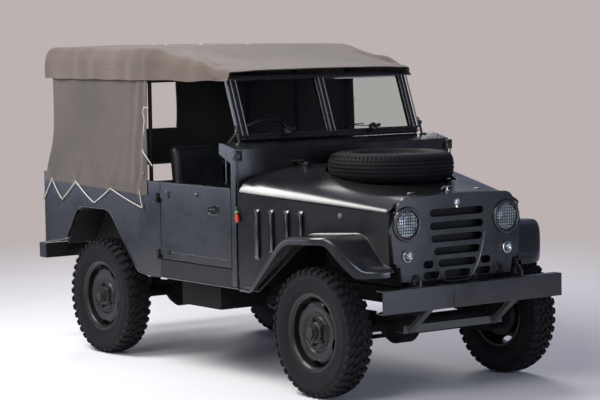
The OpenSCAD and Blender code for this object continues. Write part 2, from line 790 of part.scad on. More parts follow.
// The body's half of the tailgate hinges, with their pins
module tail_hinge_brackets()
    for (x = [-tail_hinge_x, tail_hinge_x]) {
        rod([x - tail_hinge_half - 16, tail_pin_y, tail_pin_z],
            [x + tail_hinge_half + 16, tail_pin_y, tail_pin_z], tail_pin_r);
        for (s = [-1, 1]) translate([x + s * (tail_hinge_half + 8.3) - 8, 0, 0]) {
            box(0, 16, tail_y, tail_pin_y + tail_ear, rail_rear_z, tail_z0 - panel_gap - 8);
            box(0, 16, tail_pin_y - tail_ear, tail_pin_y + tail_ear,
                tail_z0 - panel_gap - 9, tail_pin_z + tail_ear);
        }
    }

module dashboard() {
    color(body_green) difference() {
        box(-side_x + wall, side_x - wall, cowl_y + 120, cowl_y + 134,
            belt_z + 22, screen_foot_z - 14);
        rod(column_top, column_top + column_dir * column_len, column_r + 3);
    }
}

seat_x = 430;
seat_w = 400;
seat_y0 = door_y1 - 360;
seat_z = 800;

module seat_frames() {
    color(under_grey) both_sides()
        difference() {
            box(seat_x - seat_w / 2, seat_x + seat_w / 2, seat_y0 + 20, seat_y0 + 400, floor_z, seat_z);
            box(seat_x - seat_w / 2 + 20, seat_x + seat_w / 2 - 20, seat_y0 + 40, seat_y0 + 380,
                floor_z - 1, seat_z - 20);
        }
}

module seat_cushions() {
    color([0.07, 0.07, 0.08]) both_sides() {
        box(seat_x - seat_w / 2, seat_x + seat_w / 2, seat_y0, seat_y0 + 400, seat_z + 0.3, seat_z + 90);
        translate([seat_x, seat_y0 + 400.5, seat_z + 60]) rotate([-8, 0, 0])
            translate([-seat_w / 2, 0, 0]) cube([seat_w, 85, 470]);
    }
}

house_top_z = 908 + sheet;
bench_z = house_top_z + 0.3;

module rear_benches() {
    color([0.07, 0.07, 0.08]) both_sides()
        box(house_x - 90, side_x - wall - 50, rear_axle_y - 420, tail_y - 150, bench_z, bench_z + 60);
}

module control_levers() {
    color(under_grey) {
        rod([-20, cowl_y + 330, tunnel_z + sheet + 2.9], [-60, cowl_y + 430, 1060], 8);
        translate([-60, cowl_y + 430, 1060]) sphere(r = 22, $fn = 32);
    }
}

/* --- windscreen and canopy --- */
post_w = 50;
module on_screen()
    translate([0, screen_y, screen_foot_z + 0.3 + screen_t / 2 * sin(screen_lean)])
        rotate([-screen_lean, 0, 0]) children();

module windscreen_frame() {
    color(under_grey) on_screen() difference() {
        box(-screen_half_w, screen_half_w, -screen_t / 2, screen_t / 2, 0, screen_len);
        both_sides()
            box(post_w / 2, screen_half_w - post_w, -screen_t, screen_t, 40, screen_len - 32);
    }
}

module windscreen_glass() {
    color([0.6, 0.7, 0.7, 0.4]) on_screen() both_sides()
        box(post_w / 2 + 0.3, screen_half_w - post_w - 0.3, -3, 3, 40.3, screen_len - 32.3);
}

bow_corner = 120;
module bow(y) {
    both_sides() {
        rod([bow_x, y, belt_z - 145], [bow_x, y, bow_top_z - bow_corner - bow_r], bow_r);
        translate([bow_x - bow_corner, y, bow_top_z - bow_corner - bow_r])
            rotate([90, 0, 0]) rotate_extrude(angle = 90, $fn = 64)
                translate([bow_corner, 0]) circle(r = bow_r, $fn = 32);
    }
    rod([bow_corner - bow_x, y, bow_top_z - bow_r], [bow_x - bow_corner, y, bow_top_z - bow_r],
        bow_r);
}

module canopy_bows() {
    color(under_grey) for (y = bow_ys) bow(y);
}

valance_z = 1702;
canvas_gap = 0.5;
roof_rear_y = tail_y - 45;
roof_front_y = screen_y + screen_len * sin(screen_lean) - 60;
header_z = screen_foot_z + screen_len * cos(screen_lean) + screen_t;
roof_x = side_x - 2;

// One section of the roof: half width, top height and shoulder radius
function roof_section(w, top, r, t) = mirrored(rounded(
    [[0, top + 7 - t], [w - t, top - t], [w - t, valance_z]], [0, max(r - t, 4), 0], 6));

roof_top_z = bow_top_z + canvas_t + canvas_gap;
roof_break_y = bow_ys[0] - bow_r - 6;

module roof_solid(t) {
    hull() {
        along(roof_rear_y - 1 - t, roof_rear_y - t)
            polygon(roof_section(roof_x, roof_top_z, 100, t));
        along(roof_break_y, roof_break_y + 1) polygon(roof_section(roof_x, roof_top_z, 100, t));
    }
    hull() {
        along(roof_break_y, roof_break_y + 1) polygon(roof_section(roof_x, roof_top_z, 100, t));
        along(roof_front_y + t, roof_front_y + 1 + t)
            polygon(roof_section(screen_half_w + 20, header_z + 4, 14, t));
    }
}

module canvas_roof() {
    color(canvas_olive) difference() {
        roof_solid(0);
        translate([0, 0, -0.1]) roof_solid(canvas_t);
    }
}

curtain_x = side_x + canvas_gap;

module canvas_sides() {
    color(canvas_olive) both_sides()
        intersection() {
            along(bow_ys[0] - 20, tail_y + 12)
                polygon([[curtain_x, belt_z + 5], [curtain_x, belt_z - 95],
                    [curtain_x + canvas_t, belt_z - 95], [curtain_x + canvas_t, belt_z + 5],
                    [roof_x - canvas_t - 1, valance_z - 0.3],
                    [roof_x - 2 * canvas_t - 1, valance_z - 0.3]]);
            across(0, big)
                polygon([[bow_ys[0] - 20, belt_z - 90], [tail_y + 11, belt_z - 51],
                    [tail_y - 84, 1294], [tail_y - 100, 1464], [tail_y - 88, 1720],
                    [bow_ys[0] - 20, 1720]]);
        }
}

module canvas_rear() {
    color(canvas_olive) difference() {
        across(-bow_x + 20, bow_x - 20)
            polygon(band([[tail_y - 10, belt_z + 0.6], [tail_y - 84, 1294], [tail_y - 100, 1464],
                [tail_y - 88, bow_top_z - 30]], -canvas_t));
        box(-180, 180, tail_y - 300, tail_y + 100, 1350, 1655);
    }
}

/* --- bumpers --- */
module front_bumper() {
    color(body_green) {
        difference() {
            box(-bumper_half_w, bumper_half_w, bumper_y, bumper_y + bumper_depth,
                bumper_z, bumper_z + bumper_h);
            box(-big, big, bumper_y + 6, big, bumper_z + 6, bumper_z + bumper_h - 6);
        }
        both_sides() {
            difference() {
                union() {
                    box(352, 368, bumper_y + 20, bumper_y + 90, bumper_z + bumper_h,
                        bumper_z + bumper_h + 35);
                    rod([352, bumper_y + 60, bumper_z + bumper_h + 30],
                        [368, bumper_y + 60, bumper_z + bumper_h + 30], 34);
                }
                rod([300, bumper_y + 60, bumper_z + bumper_h + 30],
                    [400, bumper_y + 60, bumper_z + bumper_h + 30], 16);
            }
        }
    }
}

guard_half_w = 350;
guard_strut_x = 278;
guard_y = grille_y + 60;
guard_z = 350;
guard_strut_w = 40;

// Two struts from under the front bumper to a lower angle plate
module front_guard() {
    color(body_green) {
        both_sides()
            across(guard_strut_x, guard_strut_x + guard_strut_w)
                polygon([[bumper_y + 15, bumper_z - 0.3], [bumper_y + 55, bumper_z - 0.3],
                    [guard_y + 16, guard_z + 3], [guard_y - 24, guard_z + 3]]);
        across(-guard_half_w, guard_half_w)
            polygon([[guard_y - 24, guard_z], [guard_y - 24, guard_z + 42],
                [guard_y - 18, guard_z + 42], [guard_y - 18, guard_z + 6],
                [guard_y + 40, guard_z + 6], [guard_y + 40, guard_z]]);
    }
}

module rear_bumper() {
    color(body_green)
        box(-700, 700, rail_rear_y, rear_bumper_y, rear_bumper_z, rear_bumper_z + rear_bumper_h);
}

chassis_frame();
engine_and_gearbox();
front_axle();
rear_axle();
suspension();
prop_shafts();
exhaust();
fuel_tank();
radiator();
grille_panel();
front_fenders();
cowl();
floor_pan();
load_floor();
quarter_panels();
wheel_houses();
dashboard();
steering_column();
seat_frames();
seat_cushions();
rear_benches();
control_levers();
windscreen_frame();
windscreen_glass();
canopy_bows();
canvas_roof();
canvas_sides();
canvas_rear();
front_bumper();
front_guard();
rear_bumper();
headlamps();
small_lamps();
steering_wheel();
bonnet();
spare_tyre();
spare_wheel();
right_door();
left_door();
tailgate();
right_knuckle();
left_knuckle();
tie_rod();
front_right_tyre();
front_left_tyre();
rear_right_tyre();
rear_left_tyre();
front_right_wheel();
front_left_wheel();
rear_right_wheel();
rear_left_wheel();
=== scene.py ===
import math

import bmesh
import bpy
from mathutils import Matrix, Vector, noise


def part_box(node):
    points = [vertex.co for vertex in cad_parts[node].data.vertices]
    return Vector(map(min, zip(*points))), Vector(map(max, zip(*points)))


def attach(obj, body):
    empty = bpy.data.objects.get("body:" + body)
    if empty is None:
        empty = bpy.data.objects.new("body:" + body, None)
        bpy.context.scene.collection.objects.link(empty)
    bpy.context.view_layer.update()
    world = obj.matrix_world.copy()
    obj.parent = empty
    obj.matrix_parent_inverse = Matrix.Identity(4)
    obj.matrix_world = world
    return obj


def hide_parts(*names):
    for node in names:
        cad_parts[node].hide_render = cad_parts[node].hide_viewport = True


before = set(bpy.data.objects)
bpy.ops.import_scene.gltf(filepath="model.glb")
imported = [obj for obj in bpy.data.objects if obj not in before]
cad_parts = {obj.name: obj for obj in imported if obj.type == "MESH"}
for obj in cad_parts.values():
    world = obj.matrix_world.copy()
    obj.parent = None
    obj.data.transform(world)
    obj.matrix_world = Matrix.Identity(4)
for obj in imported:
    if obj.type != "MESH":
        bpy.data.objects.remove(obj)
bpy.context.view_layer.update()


# ---------------------------------------------------------------- places taken from the frame
def low(node):
    return Vector(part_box(node)[0])


def high(node):
    return Vector(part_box(node)[1])


def middle(node):
    return (low(node) + high(node)) / 2


SIDE_X = high("cowl").x
BELT_Z = high("left_door").z
SILL_Z = low("floor_pan").z
COWL_Y = low("cowl").y
GRILLE_Y = low("grille_panel").y
TAIL_Y = high("quarter_panels").y - 0.014
FRONT_AXLE = middle("front_left_tyre")
REAR_AXLE = middle("rear_left_tyre")
TYRE_R = middle("front_left_tyre").z
TYRE_W = high("front_left_tyre").x - low("front_left_tyre").x
DOOR_Y0 = low("left_door").y
DOOR_Y1 = DOOR_Y0 + 0.730
BODY = "car_body"


# ---------------------------------------------------------------- camera, floor and light
def make_camera():
    azimuth, elevation, roll = (math.radians(a) for a in (-36.15, 4.62, -0.85))
    back = Vector((math.sin(azimuth) * math.cos(elevation),
                   -math.cos(azimuth) * math.cos(elevation), math.sin(elevation)))
    right = Vector((0, 0, 1)).cross(back).normalized()
    up = back.cross(right)
    rolled_right = right * math.cos(roll) + up * math.sin(roll)
    rolled_up = up * math.cos(roll) - right * math.sin(roll)
    data = bpy.data.cameras.new("camera")
    data.sensor_fit = "HORIZONTAL"
    data.sensor_width = 36
    data.lens = 129.15
    data.clip_end = 100
    camera = bpy.data.objects.new("camera", data)
    camera.matrix_world = Matrix((
        (rolled_right.x, rolled_up.x, back.x, -7.563),
        (rolled_right.y, rolled_up.y, back.y, -10.522),
        (rolled_right.z, rolled_up.z, back.z, 2.008),
        (0, 0, 0, 1)))
    bpy.context.scene.collection.objects.link(camera)
    bpy.context.scene.camera = camera


def area_light(name, place, target, size, power, color=(1, 1, 1)):
    data = bpy.data.lights.new(name, "AREA")
    data.shape = "RECTANGLE"
    data.size, data.size_y = size
    data.energy = power
    data.color = color
    lamp = bpy.data.objects.new(name, data)
    lamp.location = place
    lamp.rotation_euler = (Vector(target) - Vector(place)).to_track_quat("-Z", "Y").to_euler()
    bpy.context.scene.collection.objects.link(lamp)


def make_stage():
    scene = bpy.context.scene
    scene.view_settings.view_transform = "Standard"
    world = bpy.data.worlds.new("studio")
    scene.world = world
    world.use_nodes = True
    tree = world.node_tree
    tree.nodes.clear()
    output = tree.nodes.new("ShaderNodeOutputWorld")
    mix = tree.nodes.new("ShaderNodeMixShader")
    path = tree.nodes.new("ShaderNodeLightPath")
    fill = tree.nodes.new("ShaderNodeBackground")
    seen = tree.nodes.new("ShaderNodeBackground")
    fill.inputs["Color"].default_value = (0.62, 0.68, 1.0, 1)
    fill.inputs["Strength"].default_value = 0.19
    seen.inputs["Color"].default_value = (0.50, 0.445, 0.44, 1)
    tree.links.new(path.outputs["Is Camera Ray"], mix.inputs[0])
    tree.links.new(fill.outputs[0], mix.inputs[1])
    tree.links.new(seen.outputs[0], mix.inputs[2])
    tree.links.new(mix.outputs[0], output.inputs[0])

    floor_mesh = bpy.data.meshes.new("floor")
    reach = 40
    floor_mesh.from_pydata([(-reach, -reach, 0), (reach, -reach, 0), (reach, reach, 0),
                            (-reach, reach, 0)], [], [(0, 1, 2, 3)])
    floor = bpy.data.objects.new("floor", floor_mesh)
    scene.collection.objects.link(floor)
    floor.data.materials.append(floor_material())

    area_light("key_right", (-5.2, -2.6, 4.4), (-0.4, -0.2, 0.7), (3.0, 4.0), 180,
               (1.0, 0.96, 0.92))
    area_light("shoulder", (-3.0, 1.2, 4.9), (-0.65, -1.1, 1.12), (2.6, 2.6), 300,
               (1.0, 0.98, 0.96))
    area_light("side_right", (-5.0, 7.0, 1.6), (0, 0.6, 0.9), (3.0, 2.0), 45, (0.72, 0.80, 1.0))
    area_light("front", (-1.5, -9.0, 2.6), (0, -1, 0.6), (3.0, 1.6), 110, (0.80, 0.87, 1.0))
    area_light("front_left", (2.6, -6.8, 0.6), (0.4, -1.7, 0.55), (1.4, 0.8), 25, (0.72, 0.80, 1.0))
    area_light("back_left", (4.0, 6.0, 5.5), (0, 0, 0.0), (4.0, 4.0), 260, (1.0, 0.97, 0.95))


# ---------------------------------------------------------------- materials
def new_material(name):
    material = bpy.data.materials.new(name)
    material.use_nodes = True
    tree = material.node_tree
    shader = tree.nodes["Principled BSDF"]
    return material, tree, shader


def node(tree, kind, **values):
    made = tree.nodes.new(kind)
    for key, value in values.items():
        if key in made.inputs:
            made.inputs[key].default_value = value
        else:
            setattr(made, key, value)
    return made


def object_noise(tree, scale, detail=6, rough=0.6):
    where = tree.nodes.new("ShaderNodeTexCoord")
    made = tree.nodes.new("ShaderNodeTexNoise")
    made.inputs["Scale"].default_value = scale
    made.inputs["Detail"].default_value = detail
    made.inputs["Roughness"].default_value = rough
    tree.links.new(where.outputs["Object"], made.inputs["Vector"])
    return made


def ramp(tree, source, low_value, high_value, start=0.35, end=0.65):
    made = tree.nodes.new("ShaderNodeMapRange")
    made.inputs["From Min"].default_value = start
    made.inputs["From Max"].default_value = end
    made.inputs["To Min"].default_value = low_value
    made.inputs["To Max"].default_value = high_value
    tree.links.new(source, made.inputs["Value"])
    return made.outputs[0]


def mix_color(tree, factor, color_a, color_b):
    made = tree.nodes.new("ShaderNodeMix")
    made.data_type = "RGBA"
    made.inputs[6].default_value = (*color_a, 1)
    made.inputs[7].default_value = (*color_b, 1)
    tree.links.new(factor, made.inputs[0])
    return made.outputs[2]


def add_bump(tree, shader, height, strength, distance, bevel=0.0):
    bump = node(tree, "ShaderNodeBump", Strength=strength, Distance=distance)
    tree.links.new(height, bump.inputs["Height"])
    if bevel:
        edge = tree.nodes.new("ShaderNodeBevel")
        edge.samples = 4
        edge.inputs["Radius"].default_value = bevel
        tree.links.new(edge.outputs[0], bump.inputs["Normal"])
    tree.links.new(bump.outputs[0], shader.inputs["Normal"])


def paint(name, color, roughness=0.32, coat=0.25, dust=0.5, bevel=0.004, specular=0.5):
    """Sprayed metal: faint orange peel, uneven gloss and a little dust."""
    material, tree, shader = new_material(name)
    blotch = object_noise(tree, 3.0, 8, 0.65)
    peel = object_noise(tree, 160, 2, 0.5)
    dusty = tuple(c * (1 - 0.35 * dust) + 0.16 * 0.35 * dust for c in color)
    tree.links.new(mix_color(tree, ramp(tree, blotch.outputs[0], 0, 1), color, dusty),
                   shader.inputs["Base Color"])
    tree.links.new(ramp(tree, blotch.outputs[0], roughness - 0.06, roughness + 0.12),
                   shader.inputs["Roughness"])
    shader.inputs["Coat Weight"].default_value = coat
    shader.inputs["Specular IOR Level"].default_value = specular
    shader.inputs["Coat Roughness"].default_value = 0.18
    add_bump(tree, shader, peel.outputs[0], 0.05, 0.001, bevel)
    return material


def rubber(name, color, roughness=0.72):
    material, tree, shader = new_material(name)
    blotch = object_noise(tree, 9, 8, 0.7)
    fine = object_noise(tree, 300, 3, 0.6)
    worn = tuple(c * 1.8 + 0.003 for c in color)
    shader.inputs["Specular IOR Level"].default_value = 0.25
    tree.links.new(mix_color(tree, ramp(tree, blotch.outputs[0], 0, 1, 0.4, 0.72), color, worn),
                   shader.inputs["Base Color"])
    tree.links.new(ramp(tree, blotch.outputs[0], roughness - 0.12, roughness + 0.1),
                   shader.inputs["Roughness"])
    add_bump(tree, shader, fine.outputs[0], 0.2, 0.0015)
    return material


def canvas(name, color, weave_scale=420):
    """Woven cotton duck: crossed threads, faded and stained in large soft patches."""
    material, tree, shader = new_material(name)
    where = tree.nodes.new("ShaderNodeTexCoord")
    threads = []
    for axis in ("X", "Y", "Z"):
        wave = tree.nodes.new("ShaderNodeTexWave")
        wave.bands_direction = axis
        wave.inputs["Scale"].default_value = weave_scale
        wave.inputs["Distortion"].default_value = 1.2
        wave.inputs["Detail"].default_value = 1
        tree.links.new(where.outputs["Object"], wave.inputs["Vector"])
        threads.append(wave)
    total = tree.nodes.new("ShaderNodeMath")
    tree.links.new(threads[0].outputs["Fac"], total.inputs[0])
    tree.links.new(threads[1].outputs["Fac"], total.inputs[1])
    weave = tree.nodes.new("ShaderNodeMath")
    tree.links.new(total.outputs[0], weave.inputs[0])
    tree.links.new(threads[2].outputs["Fac"], weave.inputs[1])
    fade = object_noise(tree, 2.2, 6, 0.6)
    slub = object_noise(tree, 70, 4, 0.7)
    light = tuple(min(1, c * 1.22) for c in color)
    dark = tuple(c * 0.80 for c in color)
    faded = mix_color(tree, ramp(tree, fade.outputs[0], 0, 1, 0.3, 0.7), dark, light)
    speck = tree.nodes.new("ShaderNodeMix")
    speck.data_type = "RGBA"
    speck.blend_type = "MULTIPLY"
    speck.inputs[0].default_value = 0.35
    tree.links.new(faded, speck.inputs[6])
    tree.links.new(slub.outputs[0], speck.inputs[7])
    tree.links.new(speck.outputs[2], shader.inputs["Base Color"])
    shader.inputs["Roughness"].default_value = 0.9
    shader.inputs["Sheen Weight"].default_value = 0.25
    shader.inputs["Specular IOR Level"].default_value = 0.2
    add_bump(tree, shader, weave.outputs[0], 0.35, 0.0012)
    return material


def leathercloth(name, color):
    material, tree, shader = new_material(name)
    where = tree.nodes.new("ShaderNodeTexCoord")
    grain = tree.nodes.new("ShaderNodeTexVoronoi")
    grain.inputs["Scale"].default_value = 260
    tree.links.new(where.outputs["Object"], grain.inputs["Vector"])
    blotch = object_noise(tree, 6)
    tree.links.new(mix_color(tree, ramp(tree, blotch.outputs[0], 0, 1), color,
                             tuple(c * 1.6 + 0.004 for c in color)), shader.inputs["Base Color"])
    tree.links.new(ramp(tree, blotch.outputs[0], 0.38, 0.55), shader.inputs["Roughness"])
    add_bump(tree, shader, grain.outputs["Distance"], 0.25, 0.001)
    return material


def bare_metal(name, color, roughness=0.3, metallic=1.0):
    material, tree, shader = new_material(name)
    blotch = object_noise(tree, 25)
    shader.inputs["Metallic"].default_value = metallic
    tree.links.new(mix_color(tree, ramp(tree, blotch.outputs[0], 0, 1), color,
                             tuple(c * 0.7 for c in color)), shader.inputs["Base Color"])
    tree.links.new(ramp(tree, blotch.outputs[0], roughness, roughness + 0.2),
                   shader.inputs["Roughness"])
    add_bump(tree, shader, blotch.outputs[0], 0.05, 0.001, 0.002)
    return material


def glass(name, color=(0.9, 0.95, 0.94), roughness=0.02):
    material, tree, shader = new_material(name)
    shader.inputs["Base Color"].default_value = (*color, 1)
    shader.inputs["Roughness"].default_value = roughness
    shader.inputs["Transmission Weight"].default_value = 1.0
    shader.inputs["IOR"].default_value = 1.45
    smear = object_noise(tree, 5)
    tree.links.new(ramp(tree, smear.outputs[0], roughness, roughness + 0.05),
                   shader.inputs["Roughness"])
    return material


def pane(name):
    """Thin flat glass: mostly clear, with a gloss that shows at a slant."""
    material, tree, shader = new_material(name)
    tree.nodes.remove(shader)
    output = tree.nodes["Material Output"]
    clear = node(tree, "ShaderNodeBsdfTransparent")
    clear.inputs["Color"].default_value = (0.86, 0.90, 0.89, 1)
    gloss = node(tree, "ShaderNodeBsdfGlossy", Roughness=0.03)
    edge = node(tree, "ShaderNodeFresnel", IOR=1.18)
    mix = tree.nodes.new("ShaderNodeMixShader")
    tree.links.new(edge.outputs[0], mix.inputs[0])
    tree.links.new(clear.outputs[0], mix.inputs[1])
    tree.links.new(gloss.outputs[0], mix.inputs[2])
    tree.links.new(mix.outputs[0], output.inputs[0])
    return material


def floor_material():
    """A pale floor that fades out with distance, so no edge shows against the backdrop."""
    material, tree, shader = new_material("studio_floor")
    shader.inputs["Roughness"].default_value = 0.6
    blotch = object_noise(tree, 0.6)
    tree.links.new(mix_color(tree, ramp(tree, blotch.outputs[0], 0, 1), (0.88, 0.87, 0.89),
                             (0.91, 0.90, 0.92)), shader.inputs["Base Color"])
    where = tree.nodes.new("ShaderNodeTexCoord")
    length = node(tree, "ShaderNodeVectorMath", operation="LENGTH")
    tree.links.new(where.outputs["Object"], length.inputs[0])
    fade = ramp(tree, length.outputs["Value"], 0, 1, 3.0, 9.0)
    fade.node.interpolation_type = "SMOOTHSTEP"
    clear = tree.nodes.new("ShaderNodeBsdfTransparent")
    mix = tree.nodes.new("ShaderNodeMixShader")
    tree.links.new(fade, mix.inputs[0])
    tree.links.new(shader.outputs[0], mix.inputs[1])
    tree.links.new(clear.outputs[0], mix.inputs[2])
    tree.links.new(mix.outputs[0], tree.nodes["Material Output"].inputs["Surface"])
    return material


GREEN = paint("dark_green_paint", (0.0065, 0.0068, 0.0074), 0.25, 0.7, 0.12)
GREEN_DULL = paint("dull_green_paint", (0.007, 0.007, 0.008), 0.45, 0.2, 0.12, specular=0.3)
GUARD_GREEN = paint("guard_green_paint", (0.040, 0.046, 0.042), 0.4, 0.3, 0.2)
CHASSIS = paint("chassis_black", (0.004, 0.004, 0.005), 0.6, 0.0, 0.1, specular=0.15)
IRON = paint("cast_iron", (0.018, 0.018, 0.018), 0.7, 0.0, 0.2)
RUST = paint("burnt_steel", (0.03, 0.02, 0.016), 0.75, 0.0, 0.3)
RUBBER = rubber("tyre_rubber", (0.0030, 0.0030, 0.0045))
# Near-black rubber for the real seals and wiper straps; the same black also serves as painted shade
# on the radiator, in the louvre openings and in the door handle cups.
BLACK_RUBBER_AND_SHADE = rubber("rubber_and_painted_shade", (0.003, 0.003, 0.0035), 0.5)
# The roof and the sides are one cloth: the roof colour is painted lighter as painted light on the
# lit top, and the side colour darker as painted shade.
CANVAS = canvas("olive_canvas", (0.094, 0.077, 0.066))
LIT_ROOF_CANVAS = canvas("roof_canvas_painted_lighter", (0.136, 0.105, 0.086))
WEBBING = canvas("cotton_webbing", (0.30, 0.25, 0.19), 700)
ROPE = canvas("white_rope", (0.78, 0.75, 0.68), 900)
VINYL = leathercloth("black_leathercloth", (0.006, 0.0065, 0.010))
SILVERED = bare_metal("silvered_bowl", (0.86, 0.87, 0.88), 0.38)
CHROME = bare_metal("chrome", (0.75, 0.76, 0.78), 0.12)
WORN_EDGE = bare_metal("worn_edge", (0.30, 0.30, 0.32), 0.3)
STEEL = bare_metal("worn_steel", (0.45, 0.45, 0.46), 0.35)
PANE = pane("screen_glass")
LENS = glass("lamp_glass")
RED_LENS = glass("red_lens", (0.6, 0.03, 0.02), 0.1)
PEPPER_RED = paint("pepper_red", (0.55, 0.03, 0.02), 0.25, 0.6, 0.0)
PEPPER_GREEN = paint("pepper_green", (0.10, 0.25, 0.05), 0.4, 0.2, 0.0)
BAKELITE = paint("black_bakelite", (0.008, 0.008, 0.009), 0.2, 0.6, 0.1)


# ---------------------------------------------------------------- making pieces
def place(piece, body, material, slot=None, replaces=()):
    piece.data.materials.clear()
    piece.data.materials.append(material)
    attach(piece, body)
    if replaces:
        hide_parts(*replaces)
    return piece


def mesh_object(name, verts, faces, smooth_angle=35):
    mesh = bpy.data.meshes.new(name)
    mesh.from_pydata([tuple(v) for v in verts], [], faces)
    mesh.validate()
    soften(mesh, smooth_angle)
    piece = bpy.data.objects.new(name, mesh)
    bpy.context.scene.collection.objects.link(piece)
    return piece


def soften(mesh, angle=35):
    build = bmesh.new()
    build.from_mesh(mesh)
    bmesh.ops.recalc_face_normals(build, faces=build.faces)
    build.to_mesh(mesh)
    build.free()
    mesh.shade_smooth()
    mesh.set_sharp_from_angle(angle=math.radians(angle))


def apply_modifiers(piece):
    bpy.context.view_layer.update()
    graph = bpy.context.evaluated_depsgraph_get()
    mesh = bpy.data.meshes.new_from_object(piece.evaluated_get(graph))
    piece.modifiers.clear()
    piece.data = mesh


def bevelled_copy(name, source, width=0.004, segments=2, angle=30):
    """A copy of a CAD node's mesh, joined up again and with its sharp edges rounded."""
    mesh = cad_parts[source].data.copy()
    build = bmesh.new()
    build.from_mesh(mesh)
    bmesh.ops.remove_doubles(build, verts=build.verts, dist=2e-5)
    bmesh.ops.dissolve_limit(build, angle_limit=math.radians(1), verts=build.verts,
                             edges=build.edges)
    build.to_mesh(mesh)
    build.free()
    piece = bpy.data.objects.new(name, mesh)
    bpy.context.scene.collection.objects.link(piece)
    round_edges(piece, width, segments, angle)
    return piece


def weigh_normals(piece, angle=30):
    """Smooth shading in which the big flat faces stay flat."""
    piece.data.shade_smooth()
    piece.data.set_sharp_from_angle(angle=math.radians(angle))
    even = piece.modifiers.new("even", "WEIGHTED_NORMAL")
    even.keep_sharp = True
    apply_modifiers(piece)


def round_edges(piece, width, segments, angle=30):
    bevel = piece.modifiers.new("bevel", "BEVEL")
    bevel.width = width
    bevel.segments = segments
    bevel.limit_method = "ANGLE"
    bevel.angle_limit = math.radians(angle)
    bevel.use_clamp_overlap = True
    apply_modifiers(piece)
    weigh_normals(piece, angle)


def dress(source, material, width=0.004, body=BODY, slot="body_paint", segments=2):
    piece = bevelled_copy(source + "_skin", source, width, segments)
    return place(piece, body, material, slot, (source,))


def join(name, pieces):
    """Joins loose mesh pieces into one."""
    mesh = bpy.data.meshes.new(name)
    build = bmesh.new()
    for piece in pieces:
        piece.data.transform(piece.matrix_world)
        build.from_mesh(piece.data)
    build.to_mesh(mesh)
    build.free()
    mesh.shade_smooth()
    mesh.set_sharp_from_angle(angle=math.radians(35))
    for piece in pieces:
        bpy.data.objects.remove(piece)
    joined = bpy.data.objects.new(name, mesh)
    bpy.context.scene.collection.objects.link(joined)
    return joined


def mirrored_copy(piece, name):
    """The same piece on the other side of the car."""
    mesh = piece.data.copy()
    mesh.transform(Matrix.Diagonal((-1, 1, 1, 1)))
    mesh.flip_normals()
    other = bpy.data.objects.new(name, mesh)
    bpy.context.scene.collection.objects.link(other)
    return other


def block(corner_a, corner_b, bevel=0.003, segments=2):
    """A box with rounded edges between two corners."""
    a, b = Vector(corner_a), Vector(corner_b)
    build = bmesh.new()
    bmesh.ops.create_cube(build, size=1)
    size = b - a
    bmesh.ops.scale(build, vec=(abs(size.x), abs(size.y), abs(size.z)), verts=build.verts)
    bmesh.ops.translate(build, vec=(a + b) / 2, verts=build.verts)
    limit = min(abs(size.x), abs(size.y), abs(size.z)) * 0.45
    bmesh.ops.bevel(build, geom=build.edges[:], offset=min(bevel, limit), segments=segments,
                    profile=0.5, affect="EDGES")
    mesh = bpy.data.meshes.new("block")
    build.to_mesh(mesh)
    build.free()
    mesh.shade_smooth()
    mesh.set_sharp_from_angle(angle=math.radians(35))
    piece = bpy.data.objects.new("block", mesh)
    bpy.context.scene.collection.objects.link(piece)
    return piece


def turned(profile, centre, axis=(0, 0, 1), steps=32, closed=False):
    """A turned shape: profile is a list of (radius, height along the axis)."""
    turn = Vector((0, 0, 1)).rotation_difference(Vector(axis)).to_matrix()
    verts, faces = [], []
    for k in range(steps):
        angle = 2 * math.pi * k / steps
        for radius, height in profile:
            point = turn @ Vector((radius * math.cos(angle), radius * math.sin(angle), height))
            verts.append(point + Vector(centre))
    n = len(profile)
    rows = n if closed else n - 1
    for k in range(steps):
        for i in range(rows):
            j = (i + 1) % n
            a, b = k * n, ((k + 1) % steps) * n
            faces.append((a + i, b + i, b + j, a + j))
    if not closed:
        for i in (0, n - 1):
            if profile[i][0] > 1e-6:
                faces.append(tuple(k * n + i for k in range(steps)))
    piece = mesh_object("turned", verts, faces)
    build = bmesh.new()
    build.from_mesh(piece.data)
    bmesh.ops.remove_doubles(build, verts=build.verts, dist=1e-6)
    build.to_mesh(piece.data)
    build.free()
    soften(piece.data, 32)
    return piece


def smooth_path(points, per_span=8, cyclic=False):
    """A smooth curve through the points, as a longer list of points."""
    points = [Vector(p) for p in points]
    count = len(points)
    out = []
    spans = count if cyclic else count - 1
    for i in range(spans):
        if cyclic:
            p0, p1, p2, p3 = (points[(i + k) % count] for k in (-1, 0, 1, 2))
        else:
            p0, p1 = points[max(i - 1, 0)], points[i]
            p2, p3 = points[i + 1], points[min(i + 2, count - 1)]
        for s in range(per_span):
            t = s / per_span
            out.append(0.5 * ((2 * p1) + (p2 - p0) * t + (2 * p0 - 5 * p1 + 4 * p2 - p3) * t * t
                              + (3 * p1 - p0 - 3 * p2 + p3) * t ** 3))
    if not cyclic:
        out.append(points[-1])
    return out


def steps_from(base, side, steps):
    """Points at (outward, back, up) steps from a place on one side of the car."""
    return [base + Vector((side * x, y, z)) for x, y, z in steps]


def tube(points, radius, sides=10, cyclic=False):
    """A round bar or cord along a path."""
    points = [Vector(p) for p in points]
    count = len(points)
    verts, faces = [], []
    normal = None
    for i, p in enumerate(points):
        before = points[i - 1] if (i or cyclic) else p
        after = points[(i + 1) % count] if (i < count - 1 or cyclic) else p
        along = (after - before).normalized()
        if normal is None:
            normal = along.orthogonal().normalized()
        normal = (normal - along * normal.dot(along)).normalized()
        side = along.cross(normal)
        for k in range(sides):
            angle = 2 * math.pi * k / sides
            verts.append(p + (normal * math.cos(angle) + side * math.sin(angle)) * radius)
    rings = count if cyclic else count - 1
    for i in range(rings):
        j = (i + 1) % count
        for k in range(sides):
            m = (k + 1) % sides
            faces.append((i * sides + k, i * sides + m, j * sides + m, j * sides + k))
    if not cyclic:
        faces.append(tuple(range(sides)))
        faces.append(tuple((count - 1) * sides + k for k in range(sides)))
    return mesh_object("tube", verts, faces, 50)


